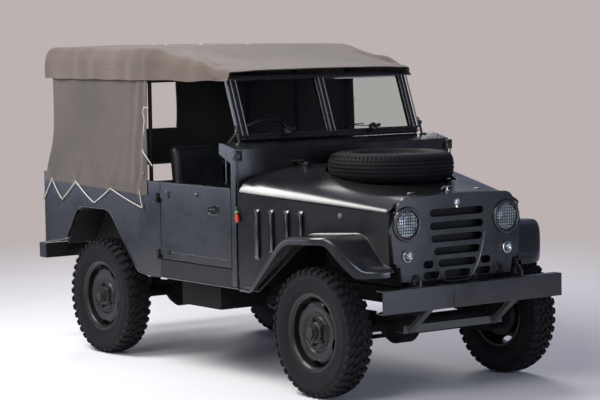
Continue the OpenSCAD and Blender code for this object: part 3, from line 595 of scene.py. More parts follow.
def sheet_grid(name, point, across, down, thickness=0.002):
    """A sheet whose points come from point(u, v), with u and v from 0 to 1."""
    verts = [point(i / across, j / down) for j in range(down + 1) for i in range(across + 1)]
    row = across + 1
    faces = [(j * row + i, j * row + i + 1, (j + 1) * row + i + 1, (j + 1) * row + i)
             for j in range(down) for i in range(across)]
    piece = mesh_object(name, verts, faces, 60)
    if thickness:
        solid = piece.modifiers.new("solid", "SOLIDIFY")
        solid.thickness = thickness
        solid.offset = -1
        apply_modifiers(piece)
        piece.data.shade_smooth()
        piece.data.set_sharp_from_angle(angle=math.radians(60))
    return piece


def hexagon(centre, axis, across_flats=0.02, height=0.012):
    r = across_flats / 2 / math.cos(math.pi / 6)
    return turned([(0, 0), (r, 0), (r, height * 0.8), (r * 0.85, height), (0, height)],
                  centre, axis, 6)


# ---------------------------------------------------------------- wheels and tyres
def tread_block(angle, offset, length, width, skew, depth=0.012):
    """One raised block of the tread, bent to the tyre's round."""
    verts = []
    outer, inner = TYRE_R - 0.0006, TYRE_R - depth - 0.006
    for along in (-1, 1):
        for across in (-1, 1):
            for radius in (inner, outer):
                shrink = 1.0 if radius == inner else 0.9
                x = offset + across * width / 2 * shrink
                crown = 0.0 if abs(x) < TYRE_W * 0.30 else (abs(x) - TYRE_W * 0.30) * 0.42
                a = angle + (along * length / 2 * shrink + across * skew) / TYRE_R
                r = radius - crown
                verts.append((x, -math.sin(a) * r, math.cos(a) * r))
    return verts


BLOCK_FACES = [(0, 1, 3, 2), (4, 6, 7, 5), (0, 4, 5, 1), (2, 3, 7, 6), (1, 5, 7, 3), (0, 2, 6, 4)]


def tyre_mesh(name, centre, with_tread=True):
    half = TYRE_W / 2
    base_r = TYRE_R - 0.012
    bead = 0.2046
    side = [(bead, -half + 0.025), (bead + 0.012, -half + 0.017), (bead + 0.030, -half + 0.010),
            (bead + 0.040, -half + 0.006), (bead + 0.043, -half + 0.0075),
            (bead + 0.070, -half + 0.001), (bead + 0.095, -half + 0.0005),
            (bead + 0.098, -half + 0.003), (base_r - 0.030, -half + 0.004),
            (base_r - 0.012, -half + 0.010), (base_r - 0.004, -half + 0.022),
            (base_r, -half + 0.036)]
    profile = side + [(r, -x) for r, x in reversed(side)]
    carcass = turned(profile, centre, (1, 0, 0), 96, closed=True)
    pieces = [carcass]
    if with_tread:
        verts, faces = [], []
        count = 40
        for k in range(count):
            angle = 2 * math.pi * k / count
            step = 2 * math.pi * TYRE_R / count
            for side_sign in (-1, 1):
                shift = math.pi / count if side_sign > 0 else 0
                for offset, length, width, skew in (
                        (0.020, step * 0.50, 0.034, 0.008),
                        (0.056, step * 0.56, 0.036, 0.010),
                        (0.0765, step * 0.50, 0.012, 0.004)):
                    start = len(verts)
                    verts += [Vector(v) + Vector(centre) for v in tread_block(
                        angle + shift, side_sign * offset, length, width, side_sign * skew)]
                    turn = 1 if side_sign > 0 else -1
                    faces += [tuple(start + i for i in f[::turn]) for f in BLOCK_FACES]
        pieces.append(mesh_object("tread", verts, faces, 30))
    return join(name, pieces)


def wheel_mesh(name, centre, side, spare=False):
    """Rim and pressed disc with oval hand holes, studs and hub. side is +1 on the left."""
    bead = 0.2045
    rim = turned([(bead - 0.014, -0.062), (bead, -0.062), (bead, 0.0570), (bead + 0.006, 0.0600),
                  (bead + 0.0118, 0.0640), (bead + 0.0116, 0.0672), (bead + 0.004, 0.0668),
                  (bead - 0.006, 0.0600), (bead - 0.014, 0.050)], (0, 0, 0), (1, 0, 0), 72, True)
    disc = turned([(bead - 0.014, 0.004), (bead - 0.020, 0.014), (0.172, 0.030), (0.158, 0.0395),
                   (0.142, 0.0410), (0.120, 0.0400), (0.112, 0.0360), (0.106, 0.0285),
                   (0.098, 0.0260), (0.090, 0.0280), (0.084, 0.0360), (0.076, 0.0385),
                   (0.060, 0.0380), (0.060, 0.030), (0.080, 0.030), (0.088, 0.022),
                   (0.100, 0.020), (0.116, 0.030), (0.140, 0.035), (0.156, 0.033),
                   (0.166, 0.026), (bead - 0.024, 0.006), (bead - 0.018, -0.002)],
                  (0, 0, 0), (1, 0, 0), 72, True)
    cutters = []
    for k in range(5):
        angle = 2 * math.pi * (k + 0.5) / 5
        cutter = turned([(0, -0.08), (0.019, -0.08), (0.019, 0.08), (0, 0.08)], (0, 0, 0),
                        (1, 0, 0), 24)
        cutter.data.transform(Matrix.Diagonal((1, 2.1, 1, 1)))
        cutter.data.transform(Matrix.Translation((0, 0, 0.171)))
        cutter.data.transform(Matrix.Rotation(angle, 4, "X"))
        cutters.append(cutter)
    cutter = join("hand_holes", cutters)
    holes = disc.modifiers.new("holes", "BOOLEAN")
    holes.object = cutter
    holes.operation = "DIFFERENCE"
    holes.solver = "EXACT"
    apply_modifiers(disc)
    bpy.data.objects.remove(cutter)
    hub = turned([(0.0, 0.088), (0.026, 0.088), (0.030, 0.085), (0.032, 0.074), (0.041, 0.072),
                  (0.043, 0.068), (0.044, 0.058), (0.055, 0.054), (0.059, 0.050),
                  (0.060, 0.030), (0.022, 0.030), (0.022, 0.02), (0, 0.02)],
                 (0, 0, 0), (1, 0, 0), 40)
    if spare:
        bpy.data.objects.remove(hub)
        return join(name, [rim, disc])
    parts = [rim, disc, hub]
    for k in range(5):
        angle = 2 * math.pi * k / 5
        at = Vector((0.038, 0.072 * math.cos(angle), 0.072 * math.sin(angle)))
        parts.append(hexagon(at, (1, 0, 0), 0.021, 0.014))
        parts.append(turned([(0, 0), (0.006, 0), (0.006, 0.020), (0.004, 0.022), (0, 0.022)],
                            at, (1, 0, 0), 12))
    for k in range(6):
        angle = 2 * math.pi * (k + 0.5) / 6
        parts.append(hexagon((0.072, 0.0365 * math.cos(angle), 0.0365 * math.sin(angle)),
                             (1, 0, 0), 0.010, 0.005))
    drum = turned([(0.0223, -0.050), (0.132, -0.050), (0.139, -0.046), (0.140, -0.030),
                   (0.137, -0.026), (0.140, -0.020), (0.139, -0.002), (0.128, 0.006),
                   (0.090, 0.009), (0.0223, 0.009)], (0, 0, 0), (1, 0, 0), 56)
    parts.append(drum)
    wheel = join(name, parts)
    if side < 0:
        wheel.data.transform(Matrix.Diagonal((-1, 1, 1, 1)))
        wheel.data.flip_normals()
    wheel.data.transform(Matrix.Translation(centre))
    return wheel


def make_wheels():
    for end, y in (("front", FRONT_AXLE.y), ("rear", REAR_AXLE.y)):
        for hand, sign in (("right", -1), ("left", 1)):
            corner = f"{end}_{hand}"
            centre = Vector((sign * FRONT_AXLE.x, y, TYRE_R))
            place(tyre_mesh(corner + "_tyre_with_tread", centre), corner + "_wheel_body", RUBBER,
                  "tyre", (corner + "_tyre",))
            place(wheel_mesh(corner + "_pressed_wheel", centre, sign), corner + "_wheel_body",
                  GREEN_DULL, "body_paint", (corner + "_wheel",))


# ---------------------------------------------------------------- carried-over structure
def keep(node_name, material):
    """A CAD node whose shape is right: only its finish is new."""
    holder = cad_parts[node_name]
    if not holder.material_slots:
        holder.data.materials.append(material)
    for slot in holder.material_slots:
        slot.link = "OBJECT"
        slot.material = material


def make_structure():
    for name in ("chassis_frame", "front_axle", "rear_axle", "suspension", "prop_shafts",
                 "fuel_tank", "steering_column", "right_knuckle", "left_knuckle", "tie_rod",
                 "control_levers", "seat_frames", "canopy_bows"):
        keep(name, CHASSIS)
    keep("engine_and_gearbox", IRON)
    keep("exhaust", RUST)
    # The radiator gets the near-black rubber finish as painted shade, so the grille slots read
    # black.
    keep("radiator", BLACK_RUBBER_AND_SHADE)
    keep("windscreen_glass", PANE)
    for name in ("cowl", "quarter_panels", "dashboard"):
        dress(name, GREEN, 0.004)
    for name in ("floor_pan", "load_floor", "wheel_houses"):
        dress(name, GREEN_DULL, 0.003)
    dress("front_bumper", GREEN, 0.003)
    dress("rear_bumper", GREEN, 0.005)
    dress("front_guard", GUARD_GREEN, 0.0015)
    dress("windscreen_frame", GREEN, 0.004)
    dress("right_door", GREEN, 0.004, "right_door_body")
    dress("left_door", GREEN, 0.004, "left_door_body")
    dress("tailgate", GREEN, 0.004, "tailgate_body")
    keep("steering_wheel", BAKELITE)


# ---------------------------------------------------------------- bonnet, fenders and nose
def between(table, y):
    """The value at y in a list of (y, value) points."""
    table = sorted(table)
    if y <= table[0][0]:
        return table[0][1]
    for (y0, v0), (y1, v1) in zip(table, table[1:]):
        if y <= y1:
            return v0 + (v1 - v0) * (y - y0) / max(y1 - y0, 1e-9)
    return table[-1][1]


def resampled(points, count):
    """The same path as a given number of evenly spaced points."""
    points = [Vector(p) for p in points]
    runs = [0.0]
    for a, b in zip(points, points[1:]):
        runs.append(runs[-1] + (b - a).length)
    out, k = [], 0
    for i in range(count):
        want = runs[-1] * i / (count - 1)
        while k < len(points) - 2 and runs[k + 1] < want:
            k += 1
        share = (want - runs[k]) / max(runs[k + 1] - runs[k], 1e-9)
        out.append(points[k].lerp(points[k + 1], min(max(share, 0), 1)))
    return out


BONNET_Y0, BONNET_Y1 = low("bonnet").y, COWL_Y - 0.006
BONNET_REAR = [(0, 1.225), (0.200, 1.224), (0.329, 1.222), (0.451, 1.209), (0.560, 1.192),
               (0.650, 1.175), (0.706, 1.158), (0.745, 1.134), (0.768, 1.108), (0.777, 1.088)]
BONNET_FRONT = [(0, 1.095), (0.150, 1.092), (0.273, 1.086), (0.340, 1.076), (0.384, 1.063),
                (0.418, 1.050), (0.443, 1.040), (0.462, 1.028), (0.472, 1.018), (0.474, 1.010)]
BONNET_HALF = BONNET_REAR[-1][0]
HALF_STEPS = 36


def bonnet_section(share, inset):
    rear = resampled(smooth_path([(*p, 0) for p in BONNET_REAR], 6), HALF_STEPS)
    front = resampled(smooth_path([(*p, 0) for p in BONNET_FRONT], 6), HALF_STEPS)
    half = []
    for a, b in zip(front, rear):
        p = a.lerp(b, share)
        crown = 0.004 * math.sin(math.pi * share) * (1 - (p.x / BONNET_HALF) ** 2)
        half.append(Vector((p.x * (1 - inset / BONNET_HALF), p.y + crown - inset, 0)))
    return [Vector((-p.x, p.y, 0)) for p in reversed(half[1:])] + half


def bonnet_volume(inset, floor=None):
    """A closed loft under the bonnet's skin, down to a flat floor or to an inset copy."""
    rows = 20
    verts, faces = [], []
    for j in range(rows + 1):
        share = j / rows
        y = BONNET_Y0 + (BONNET_Y1 - BONNET_Y0) * share
        outer = bonnet_section(share, inset if floor else 0)
        if floor is None:
            inner = bonnet_section(share, inset)
            inner[0].y = outer[0].y
            inner[-1].y = outer[-1].y
        else:
            inner = [Vector((p.x, floor, 0)) for p in outer]
        ring = outer + inner[::-1]
        verts += [(p.x, y, p.y) for p in ring]
    n = len(ring)
    for j in range(rows):
        for i in range(n):
            k = (i + 1) % n
            faces.append((j * n + i, j * n + k, (j + 1) * n + k, (j + 1) * n + i))
    half = n // 2
    for j in (0, rows):
        for i in range(half - 1):
            faces.append((j * n + i, j * n + i + 1, j * n + n - 2 - i, j * n + n - 1 - i))
    return mesh_object("bonnet_volume", verts, faces, 40)


def boolean(piece, cutter, operation):
    made = piece.modifiers.new("cut", "BOOLEAN")
    made.object = cutter
    made.operation = operation
    made.solver = "EXACT"
    apply_modifiers(piece)
    bpy.data.objects.remove(cutter)


def make_bonnet():
    spare = middle("spare_tyre")
    well_floor = spare.z - TYRE_W / 2 - 0.0005
    well_r = TYRE_R + 0.012
    skin = bonnet_volume(0.012)
    boolean(skin, turned([(0, 0), (well_r, 0), (well_r, 0.4), (0, 0.4)],
                         (0, spare.y, well_floor), (0, 0, 1), 96), "DIFFERENCE")
    cup = turned([(0, -0.008), (well_r + 0.010, -0.008), (well_r + 0.010, 0.25),
                  (well_r - 0.0005, 0.25), (well_r - 0.0005, 0.0), (0, 0.0)],
                 (0, spare.y, well_floor), (0, 0, 1), 96)
    boolean(cup, bonnet_volume(0.001, 0.9), "INTERSECT")
    hub = turned([(0, 0), (0.060, 0), (0.060, 0.070), (0.050, 0.078), (0, 0.078)],
                 (0, spare.y, well_floor - 0.002), (0, 0, 1), 40)
    parts = [skin, cup, hub]
    for side in (-1, 1):
        x, y, z = side * 0.350, COWL_Y - 0.015, high("bonnet").z - 0.009
        parts.append(turned([(0.0052, -0.020), (0.0085, -0.020), (0.009, -0.019),
                             (0.009, 0.019), (0.0085, 0.020), (0.0052, 0.020)],
                            (x, y, z), (1, 0, 0), 24, True))
        leaf = block((x - 0.020, y - 0.075, z - 0.016), (x + 0.020, y - 0.004, z - 0.009), 0.002)
        parts.append(leaf)
        parts.append(block((x - 0.019, y - 0.074, 1.205), (x + 0.019, y - 0.030, z - 0.014), 0.002))
        for dy in (-0.062, -0.040):
            parts.append(hexagon((x, y + dy, z - 0.0095), (0, 0, 1), 0.013, 0.006))
    piece = join("bonnet_skin", parts)
    place(piece, "bonnet_body", GREEN, "body_paint", ("bonnet",))

    catch = [turned([(0, 0), (0.017, 0), (0.017, 0.003), (0.008, 0.006), (0.006, 0.022),
                     (0, 0.022)], (0, BONNET_Y0 + 0.055, 1.0995), (0, 0, 1), 24),
             tube(smooth_path([(-0.046, BONNET_Y0 + 0.046, 1.114),
                               (-0.020, BONNET_Y0 + 0.053, 1.122),
                               (0.020, BONNET_Y0 + 0.058, 1.123),
                               (0.050, BONNET_Y0 + 0.062, 1.116)], 6), 0.0055)]
    place(join("bonnet_catch", catch), "bonnet_body", CHROME)
    discs = []
    for x in (-0.235, 0.235):
        discs.append(turned([(0, 0), (0.024, 0), (0.023, 0.0025), (0.008, 0.005), (0, 0.005)],
                            (x, BONNET_Y0 + 0.085, 1.0985), (0, 0.10, 1), 28))
    place(join("bonnet_rest_discs", discs), "bonnet_body", STEEL)


def rounded_path(corners, steps=12):
    """An open path through (u, v, radius) corners, each turned by an arc of its radius."""
    out = []
    for i, (u, v, r) in enumerate(corners):
        p = Vector((u, v))
        if r == 0:
            out.append(p)
            continue
        before = (Vector(corners[i - 1][:2]) - p).normalized()
        after = (Vector(corners[i + 1][:2]) - p).normalized()
        half = math.acos(before.dot(after)) / 2
        start, end = p + before * (r / math.tan(half)), p + after * (r / math.tan(half))
        centre = p + (before + after).normalized() * (r / math.sin(half))
        first = math.atan2(start.y - centre.y, start.x - centre.x)
        sweep = math.atan2(end.y - centre.y, end.x - centre.x) - first
        sweep = (sweep + math.pi) % (2 * math.pi) - math.pi
        for k in range(steps + 1):
            angle = first + sweep * k / steps
            out.append(centre + Vector((math.cos(angle), math.sin(angle))) * r)
    return out


# The wheel arch edge and the top of the rim above it as (y, z) points, from the cowl forward
ARCH_TABLE = [tuple(p) for p in rounded_path([
    (FRONT_AXLE.y + 0.486, SILL_Z - 0.007, 0), (FRONT_AXLE.y + 0.170, 0.830, 0.200),
    (FRONT_AXLE.y - 0.172, 0.846, 0.060), (FRONT_AXLE.y - 0.300, 0.668, 0.025),
    (GRILLE_Y, 0.666, 0)])]
FENDER_TOP = [tuple(p) for p in rounded_path([
    (FRONT_AXLE.y + 0.509, SILL_Z + 0.016, 0), (FRONT_AXLE.y + 0.184, 0.872, 0.220),
    (FRONT_AXLE.y - 0.196, 0.892, 0.100), (FRONT_AXLE.y - 0.318, 0.722, 0.040),
    (GRILLE_Y, 0.714, 0)])]
FENDER_FLARE = 0.0103  # how far the fender stands out from the body side
FLARE_X = SIDE_X + FENDER_FLARE
NOSE_R = 0.320
NOSE_X, NOSE_Y = FLARE_X - NOSE_R, GRILLE_Y + NOSE_R


PANEL_FRONT_X, PANEL_FRONT_Y = 0.462, GRILLE_Y + 0.020


def panel_x(y):
    """Where the side panel above the fender stands."""
    share = (COWL_Y - y) / (COWL_Y - PANEL_FRONT_Y)
    return SIDE_X + (PANEL_FRONT_X - SIDE_X) * share


def panel_out():
    """The side panel's outward direction, and its direction to the rear."""
    turn = math.atan2(SIDE_X - PANEL_FRONT_X, COWL_Y - PANEL_FRONT_Y)
    return (Vector((math.cos(turn), -math.sin(turn), 0)),
            Vector((math.sin(turn), math.cos(turn), 0)))


def fender_reach(y, inset):
    """How far out the fender goes at y, with its edge moved in by inset."""
    if y < NOSE_Y:
        return NOSE_X + math.sqrt(max((NOSE_R - inset) ** 2 - (y - NOSE_Y) ** 2, 0))
    widening = min((COWL_Y - y) / 0.110, 1)
    return SIDE_X + 0.002 + (FLARE_X - SIDE_X - 0.002) * widening - inset


def fender_piece():
    """The fender's top and lip, in rows straight across the car."""
    roll = 0.022
    stations = {COWL_Y + (NOSE_Y - COWL_Y) * k / 40 for k in range(41)}
    stations |= {NOSE_Y - NOSE_R * math.sin(math.pi / 2 * k / 48) for k in range(49)}
    stations |= {FRONT_AXLE.y - 0.140 - 0.005 * k for k in range(40)}
    verts = []
    for y in sorted(stations, reverse=True):
        foot, crest = between(ARCH_TABLE, y), between(FENDER_TOP, y)
        edge = fender_reach(y, 0)
        row = [(edge, y, foot), (edge, y, (foot + crest - roll) / 2)]
        for k in range(7):
            x = fender_reach(y, roll * (1 - math.cos(math.pi / 2 * k / 6)))
            depth = edge - x
            if y < NOSE_Y:
                depth = NOSE_R - math.hypot(x - NOSE_X, y - NOSE_Y)
            fall = max(1 - depth / roll, 0)
            row.append((x, y, crest - roll * (1 - math.sqrt(max(1 - fall * fall, 0)))))
        x0, z0 = row[-1][0], row[-1][2]
        x1 = min(panel_x(y) - 0.012, x0 - 0.001)
        for k in range(1, 11):
            x = x0 + (x1 - x0) * k / 10
            z = z0
            if y < NOSE_Y and x < NOSE_X:
                fall = max(1 - (y - GRILLE_Y) / roll, 0)
                z = crest - roll * (1 - math.sqrt(max(1 - fall * fall, 0)))
            row.append((x, y, z))
        verts += row
    n = len(row)
    count = len(verts) // n
    faces = [(i * n + j, (i + 1) * n + j, (i + 1) * n + j + 1, i * n + j + 1)
             for i in range(count - 1) for j in range(n - 1)]
    skin = mesh_object("fender", verts, faces, 50)
    if sum(f.normal.z * f.area for f in skin.data.polygons) < 0:
        skin.data.flip_normals()
    solid = skin.modifiers.new("solid", "SOLIDIFY")
    solid.thickness = 0.004
    solid.offset = -1
    apply_modifiers(skin)
    soften(skin.data, 50)
    return skin


def side_panel_piece():
    """The flat panel between bonnet and fender."""
    rows, cols = 80, 10
    y_front = GRILLE_Y + 0.021
    verts = []
    for j in range(rows + 1):
        y = COWL_Y - 0.001 + (y_front - COWL_Y) * j / rows
        share = (COWL_Y - y) / (COWL_Y - GRILLE_Y)
        top = 1.082 + (1.006 - 1.082) * share
        foot = between(ARCH_TABLE, y) + 0.002
        for i in range(cols + 1):
            verts.append((panel_x(y) - 0.0005, y, foot + (top - foot) * i / cols))
    n = cols + 1
    faces = [(j * n + i, j * n + i + 1, (j + 1) * n + i + 1, (j + 1) * n + i)
             for j in range(rows) for i in range(cols)]
    skin = mesh_object("side_panel", verts, faces, 50)
    solid = skin.modifiers.new("solid", "SOLIDIFY")
    solid.thickness = 0.012
    solid.offset = -1
    apply_modifiers(skin)
    soften(skin.data, 50)
    return skin


def louvre(y, bottom, top):
    """A pressed louvre: a hood that rises towards its open front edge."""
    out, along = panel_out()
    base = Vector((panel_x(y), y, 0))
    rise, width, steps = 0.016, 0.036, 8
    verts, faces = [], []
    levels = [(bottom, 0.0), (bottom + 0.010, 0.75), (bottom + 0.022, 1.0),
              (top - 0.022, 1.0), (top - 0.010, 0.75), (top, 0.0)]
    for z, swell in levels:
        for k in range(steps + 1):
            t = k / steps
            lift = rise * swell * math.sin(math.pi / 2 * (1 - t)) - 0.0005
            verts.append(base + along * width * (t - 0.5) + out * lift + Vector((0, 0, z)))
        verts.append(base + along * width * 0.5 - out * 0.001 + Vector((0, 0, z)))
        verts.append(base - along * width * 0.5 - out * 0.002 + Vector((0, 0, z)))
    n = steps + 3
    for j in range(len(levels) - 1):
        for k in range(n):
            m = (k + 1) % n
            faces.append((j * n + k, j * n + m, (j + 1) * n + m, (j + 1) * n + k))
    faces.append(tuple(range(n)))
    faces.append(tuple((len(levels) - 1) * n + k for k in range(n)))
    hood = mesh_object("louvre", verts, faces, 50)
    # A thin near-black sheet across the louvre's open front edge: painted shade inside the opening.
    mouth_centre = base - along * (width * 0.5 + 0.0014)
    gap = [mouth_centre - out * 0.002 + Vector((0, 0, bottom + 0.014)),
           mouth_centre + out * rise * 0.72 + Vector((0, 0, bottom + 0.024)),
           mouth_centre + out * rise * 0.72 + Vector((0, 0, top - 0.024)),
           mouth_centre - out * 0.002 + Vector((0, 0, top - 0.014))]
    verts = gap + [p + along * 0.0008 for p in gap]
    shade_sheet = mesh_object("shade_sheet", verts, [(0, 1, 2, 3), (7, 6, 5, 4), (0, 4, 5, 1), (1, 5, 6, 2),
                                         (2, 6, 7, 3), (3, 7, 4, 0)])
    return hood, shade_sheet


def make_fenders():
    hoods, shade_sheets = [], []
    for y, bottom in ((-0.769, 0.718), (-0.861, 0.759), (-0.961, 0.809), (-1.050, 0.853)):
        hood, shade_sheet = louvre(y, bottom, 0.998)
        hoods.append(hood)
        shade_sheets.append(shade_sheet)
    flange = tube([(panel_x(y) + 0.0005, y, between(FENDER_TOP, y) + 0.001)
                   for y in [COWL_Y - 0.10 - 0.86 * k / 100 for k in range(101)]], 0.0045, 8)
    left = join("left_front_fender_skin", [fender_piece(), side_panel_piece(), flange] + hoods)
    dark = join("left_louvre_painted_shade", shade_sheets)
    right = mirrored_copy(left, "right_front_fender_skin")
    right_dark = mirrored_copy(dark, "right_louvre_painted_shade")
    place(left, BODY, GREEN, "body_paint", ("front_fenders",))
    place(right, BODY, GREEN, "body_paint", ("front_fenders",))
    # The near-black louvre sheets are painted shade.
    place(dark, BODY, BLACK_RUBBER_AND_SHADE)
    place(right_dark, BODY, BLACK_RUBBER_AND_SHADE)


LAMP_X, LAMP_Z = 0.352, 0.943


def headlamp(side):
    x, y, z = side * LAMP_X, GRILLE_Y, LAMP_Z
    ring = turned([(0.070, 0.006), (0.0935, 0.006), (0.0955, 0.003), (0.0958, -0.004),
                   (0.092, -0.012), (0.085, -0.0138), (0.078, -0.012), (0.0745, -0.006)],
                  (x, y, z), (0, 1, 0), 64, True)
    bowl = turned([(0.077, -0.002), (0.083, 0.004), (0.084, 0.022), (0.070, 0.038),
                   (0.035, 0.049), (0.0, 0.0495), (0.0, 0.046), (0.034, 0.045),
                   (0.066, 0.035), (0.078, 0.022), (0.077, 0.010)], (x, y, z), (0, 1, 0), 56)
    bulb = turned([(0, 0.020), (0.008, 0.022), (0.010, 0.030), (0.006, 0.045), (0, 0.045)],
                  (x, y, z), (0, 1, 0), 20)
    lens = turned([(0, -0.0105), (0.030, -0.0098), (0.055, -0.0075), (0.0765, -0.003),
                   (0.0765, 0.000), (0.055, -0.0045), (0.030, -0.0068), (0, -0.0075)],
                  (x, y, z), (0, 1, 0), 56)
    bars = []
    reach = 0.074
    for k in range(9):
        offset = -0.064 + 0.016 * k
        half = math.sqrt(reach ** 2 - offset ** 2)
        bulge = 0.0120
        across_path = [(x - half + 2 * half * t / 8, y - bulge - 0.002 * math.sin(math.pi * t / 8),
                        z + offset) for t in range(9)]
        up_path = [(x + offset, y - bulge + 0.001 - 0.002 * math.sin(math.pi * t / 8),
                    z - half + 2 * half * t / 8) for t in range(9)]
        bars.append(tube(across_path, 0.0017, 6))
        bars.append(tube(up_path, 0.0017, 6))
    bars.append(tube([(x + 0.075 * math.cos(a), y - 0.0118, z + 0.075 * math.sin(a))
                      for a in [2 * math.pi * k / 48 for k in range(48)]], 0.0018, 8, True))
    return ring, bowl, bulb, lens, bars


def slot_cutter(x0, x1, z, height=0.041):
    """A long rounded-end opening through the grille panel."""
    r = height / 2
    rim = [(x1 - r + r * math.sin(a), z + r * math.cos(a))
           for a in [math.pi * k / 12 for k in range(13)]]
    rim += [(x0 + r - r * math.sin(a), z - r * math.cos(a))
            for a in [math.pi * k / 12 for k in range(13)]]
    return prism("slot", rim, GRILLE_Y - 0.05, GRILLE_Y + 0.05)


def prism(name, rim, y0, y1):
    """A flat (x, z) outline made solid between two y planes."""
    n = len(rim)
    verts = [(x, y0, z) for x, z in rim] + [(x, y1, z) for x, z in rim]
    faces = [tuple(range(n)), tuple(range(2 * n - 1, n - 1, -1))]
    faces += [(i, n + i, n + (i + 1) % n, (i + 1) % n) for i in range(n)]
    return mesh_object(name, verts, faces)


def make_grille():
    half = rounded_path([(0, 1.095, 0), (0.392, 1.083, 0.070), (0.462, 0.920, 0.060),
                         (0.440, 0.740, 0), (0.400, 0.715, 0), (0.385, 0.632, 0)])
    rim = [tuple(p) for p in half] + [(-p.x, p.y) for p in reversed(half[1:])]
    panel = prism("grille", rim, GRILLE_Y + 0.0005, GRILLE_Y + 0.020)
    cutters = [slot_cutter(-w, w, z) for w, z in ((0.190, 0.992), (0.190, 0.921), (0.181, 0.852),
                                                  (0.162, 0.783), (0.135, 0.716))]
    cutters.append(slot_cutter(-0.092, 0.092, 0.656))
    for side in (-1, 1):
        for a, b, z in ((0.168, 0.239, 0.716), (0.130, 0.240, 0.656)):
            cutters.append(slot_cutter(min(side * a, side * b), max(side * a, side * b), z))
        cutters.append(turned([(0, -0.05), (0.0895, -0.05), (0.0895, 0.05), (0, 0.05)],
                              (side * LAMP_X, GRILLE_Y, LAMP_Z), (0, 1, 0), 64))
    for cutter in cutters:
        boolean(panel, cutter, "DIFFERENCE")
    panel.name = "grille_panel_skin"
    round_edges(panel, 0.004, 3)
    place(panel, BODY, GREEN, "body_paint", ("grille_panel",))


def make_nose():
    for side, hand in ((-1, "right"), (1, "left")):
        ring, bowl, bulb, lens, bars = headlamp(side)
        ring.name = hand + "_headlamp_ring"
        place(ring, BODY, GREEN, "body_paint", ("headlamps",))
        place(join(hand + "_headlamp_bowl", [bowl, bulb]), BODY, SILVERED, "lamp", ("headlamps",))
        lens.name = hand + "_headlamp_lens"
        place(lens, BODY, LENS, None, ("headlamps",))
        place(join(hand + "_headlamp_guard", bars), BODY, GREEN_DULL)
        x, y, z = side * 0.354, GRILLE_Y, 0.773
        rim = turned([(0.026, 0), (0.0345, 0), (0.035, -0.004), (0.033, -0.012),
                      (0.028, -0.013), (0.026, -0.010)], (x, y, z), (0, 1, 0), 40, True)
        dome = turned([(0.0275, -0.010), (0.0265, -0.016), (0.020, -0.0225), (0.010, -0.0255),
                       (0, -0.026), (0, -0.020), (0.018, -0.017), (0.024, -0.010)],
                      (x, y, z), (0, 1, 0), 36)
        seat = turned([(0, 0), (0.027, 0), (0.027, -0.011), (0, -0.011)], (x, y, z), (0, 1, 0), 32)
        place(join(hand + "_marker_rim", [rim, seat]), BODY, CHROME, "lamp", ("small_lamps",))
        dome.name = hand + "_marker_lens"
        place(dome, BODY, LENS, None, ("small_lamps",))
        x, y, z = side * 0.690, TAIL_Y, 0.740
        base = turned([(0, 0), (0.034, 0), (0.034, 0.010), (0.031, 0.016), (0, 0.016)],
                      (x, y, z), (0, 1, 0), 36)
        red = turned([(0, 0.012), (0.0285, 0.012), (0.028, 0.020), (0.022, 0.027), (0, 0.0298)],
                     (x, y, z), (0, 1, 0), 36)
        base.name = hand + "_tail_lamp_base"
        place(base, BODY, BAKELITE, "lamp", ("small_lamps",))
        red.name = hand + "_tail_lamp_lens"
        place(red, BODY, RED_LENS, None, ("small_lamps",))
    boss = [turned([(0, 0), (0.021, 0), (0.021, -0.004), (0.015, -0.009), (0, -0.010)],
                   (0, GRILLE_Y, 1.046), (0, 1, 0), 32),
            turned([(0, 0), (0.009, 0), (0.006, -0.006), (0, -0.007)],
                   (0, GRILLE_Y, 1.018), (0, 1, 0), 24)]
    place(join("grille_boss", boss), BODY, CHROME)
    half = [(0.200, 0.875), (0.183, 0.800), (0.155, 0.716), (0.120, 0.655), (0.090, 0.622),
            (0.045, 0.616), (0.0, 0.615)]
    bead = [(-x, GRILLE_Y + 0.0015, z) for x, z in half] + \
           [(x, GRILLE_Y + 0.0015, z) for x, z in half[-2::-1]]
    trim = [tube(smooth_path(bead, 6), 0.005, 8)]
    trim.append(turned([(0.0105, -0.007), (0.016, -0.007), (0.017, -0.004), (0.017, 0.004),
                        (0.0105, 0.004)], (0.130, GRILLE_Y, 0.612), (0, 1, 0), 28, True))
    for side in (-1, 1):
        for x, z in ((0.436, 1.010), (0.440, 0.860), (0.286, 0.655), (0.420, 0.720)):
            trim.append(turned([(0, 0), (0.007, 0), (0.006, -0.003), (0, -0.004)],
                               (side * x, GRILLE_Y, z), (0, 1, 0), 14))
    place(join("grille_ribs_and_screws", trim), BODY, GREEN)


def make_bumpers():
    y0 = low("front_bumper").y
    z0 = low("front_bumper").z
    weld = tube([(-0.148, y0 - 0.0005, z0 + 0.004 + 0.118 * k / 12) for k in range(13)], 0.0028, 6)
    bits = [weld, turned([(0, 0), (0.009, 0), (0.008, -0.003), (0.003, -0.0045), (0, -0.005)],
                         (0.015, y0, z0 + 0.063), (0, 1, 0), 18)]
    place(join("front_bumper_bolts", bits), BODY, GREEN)


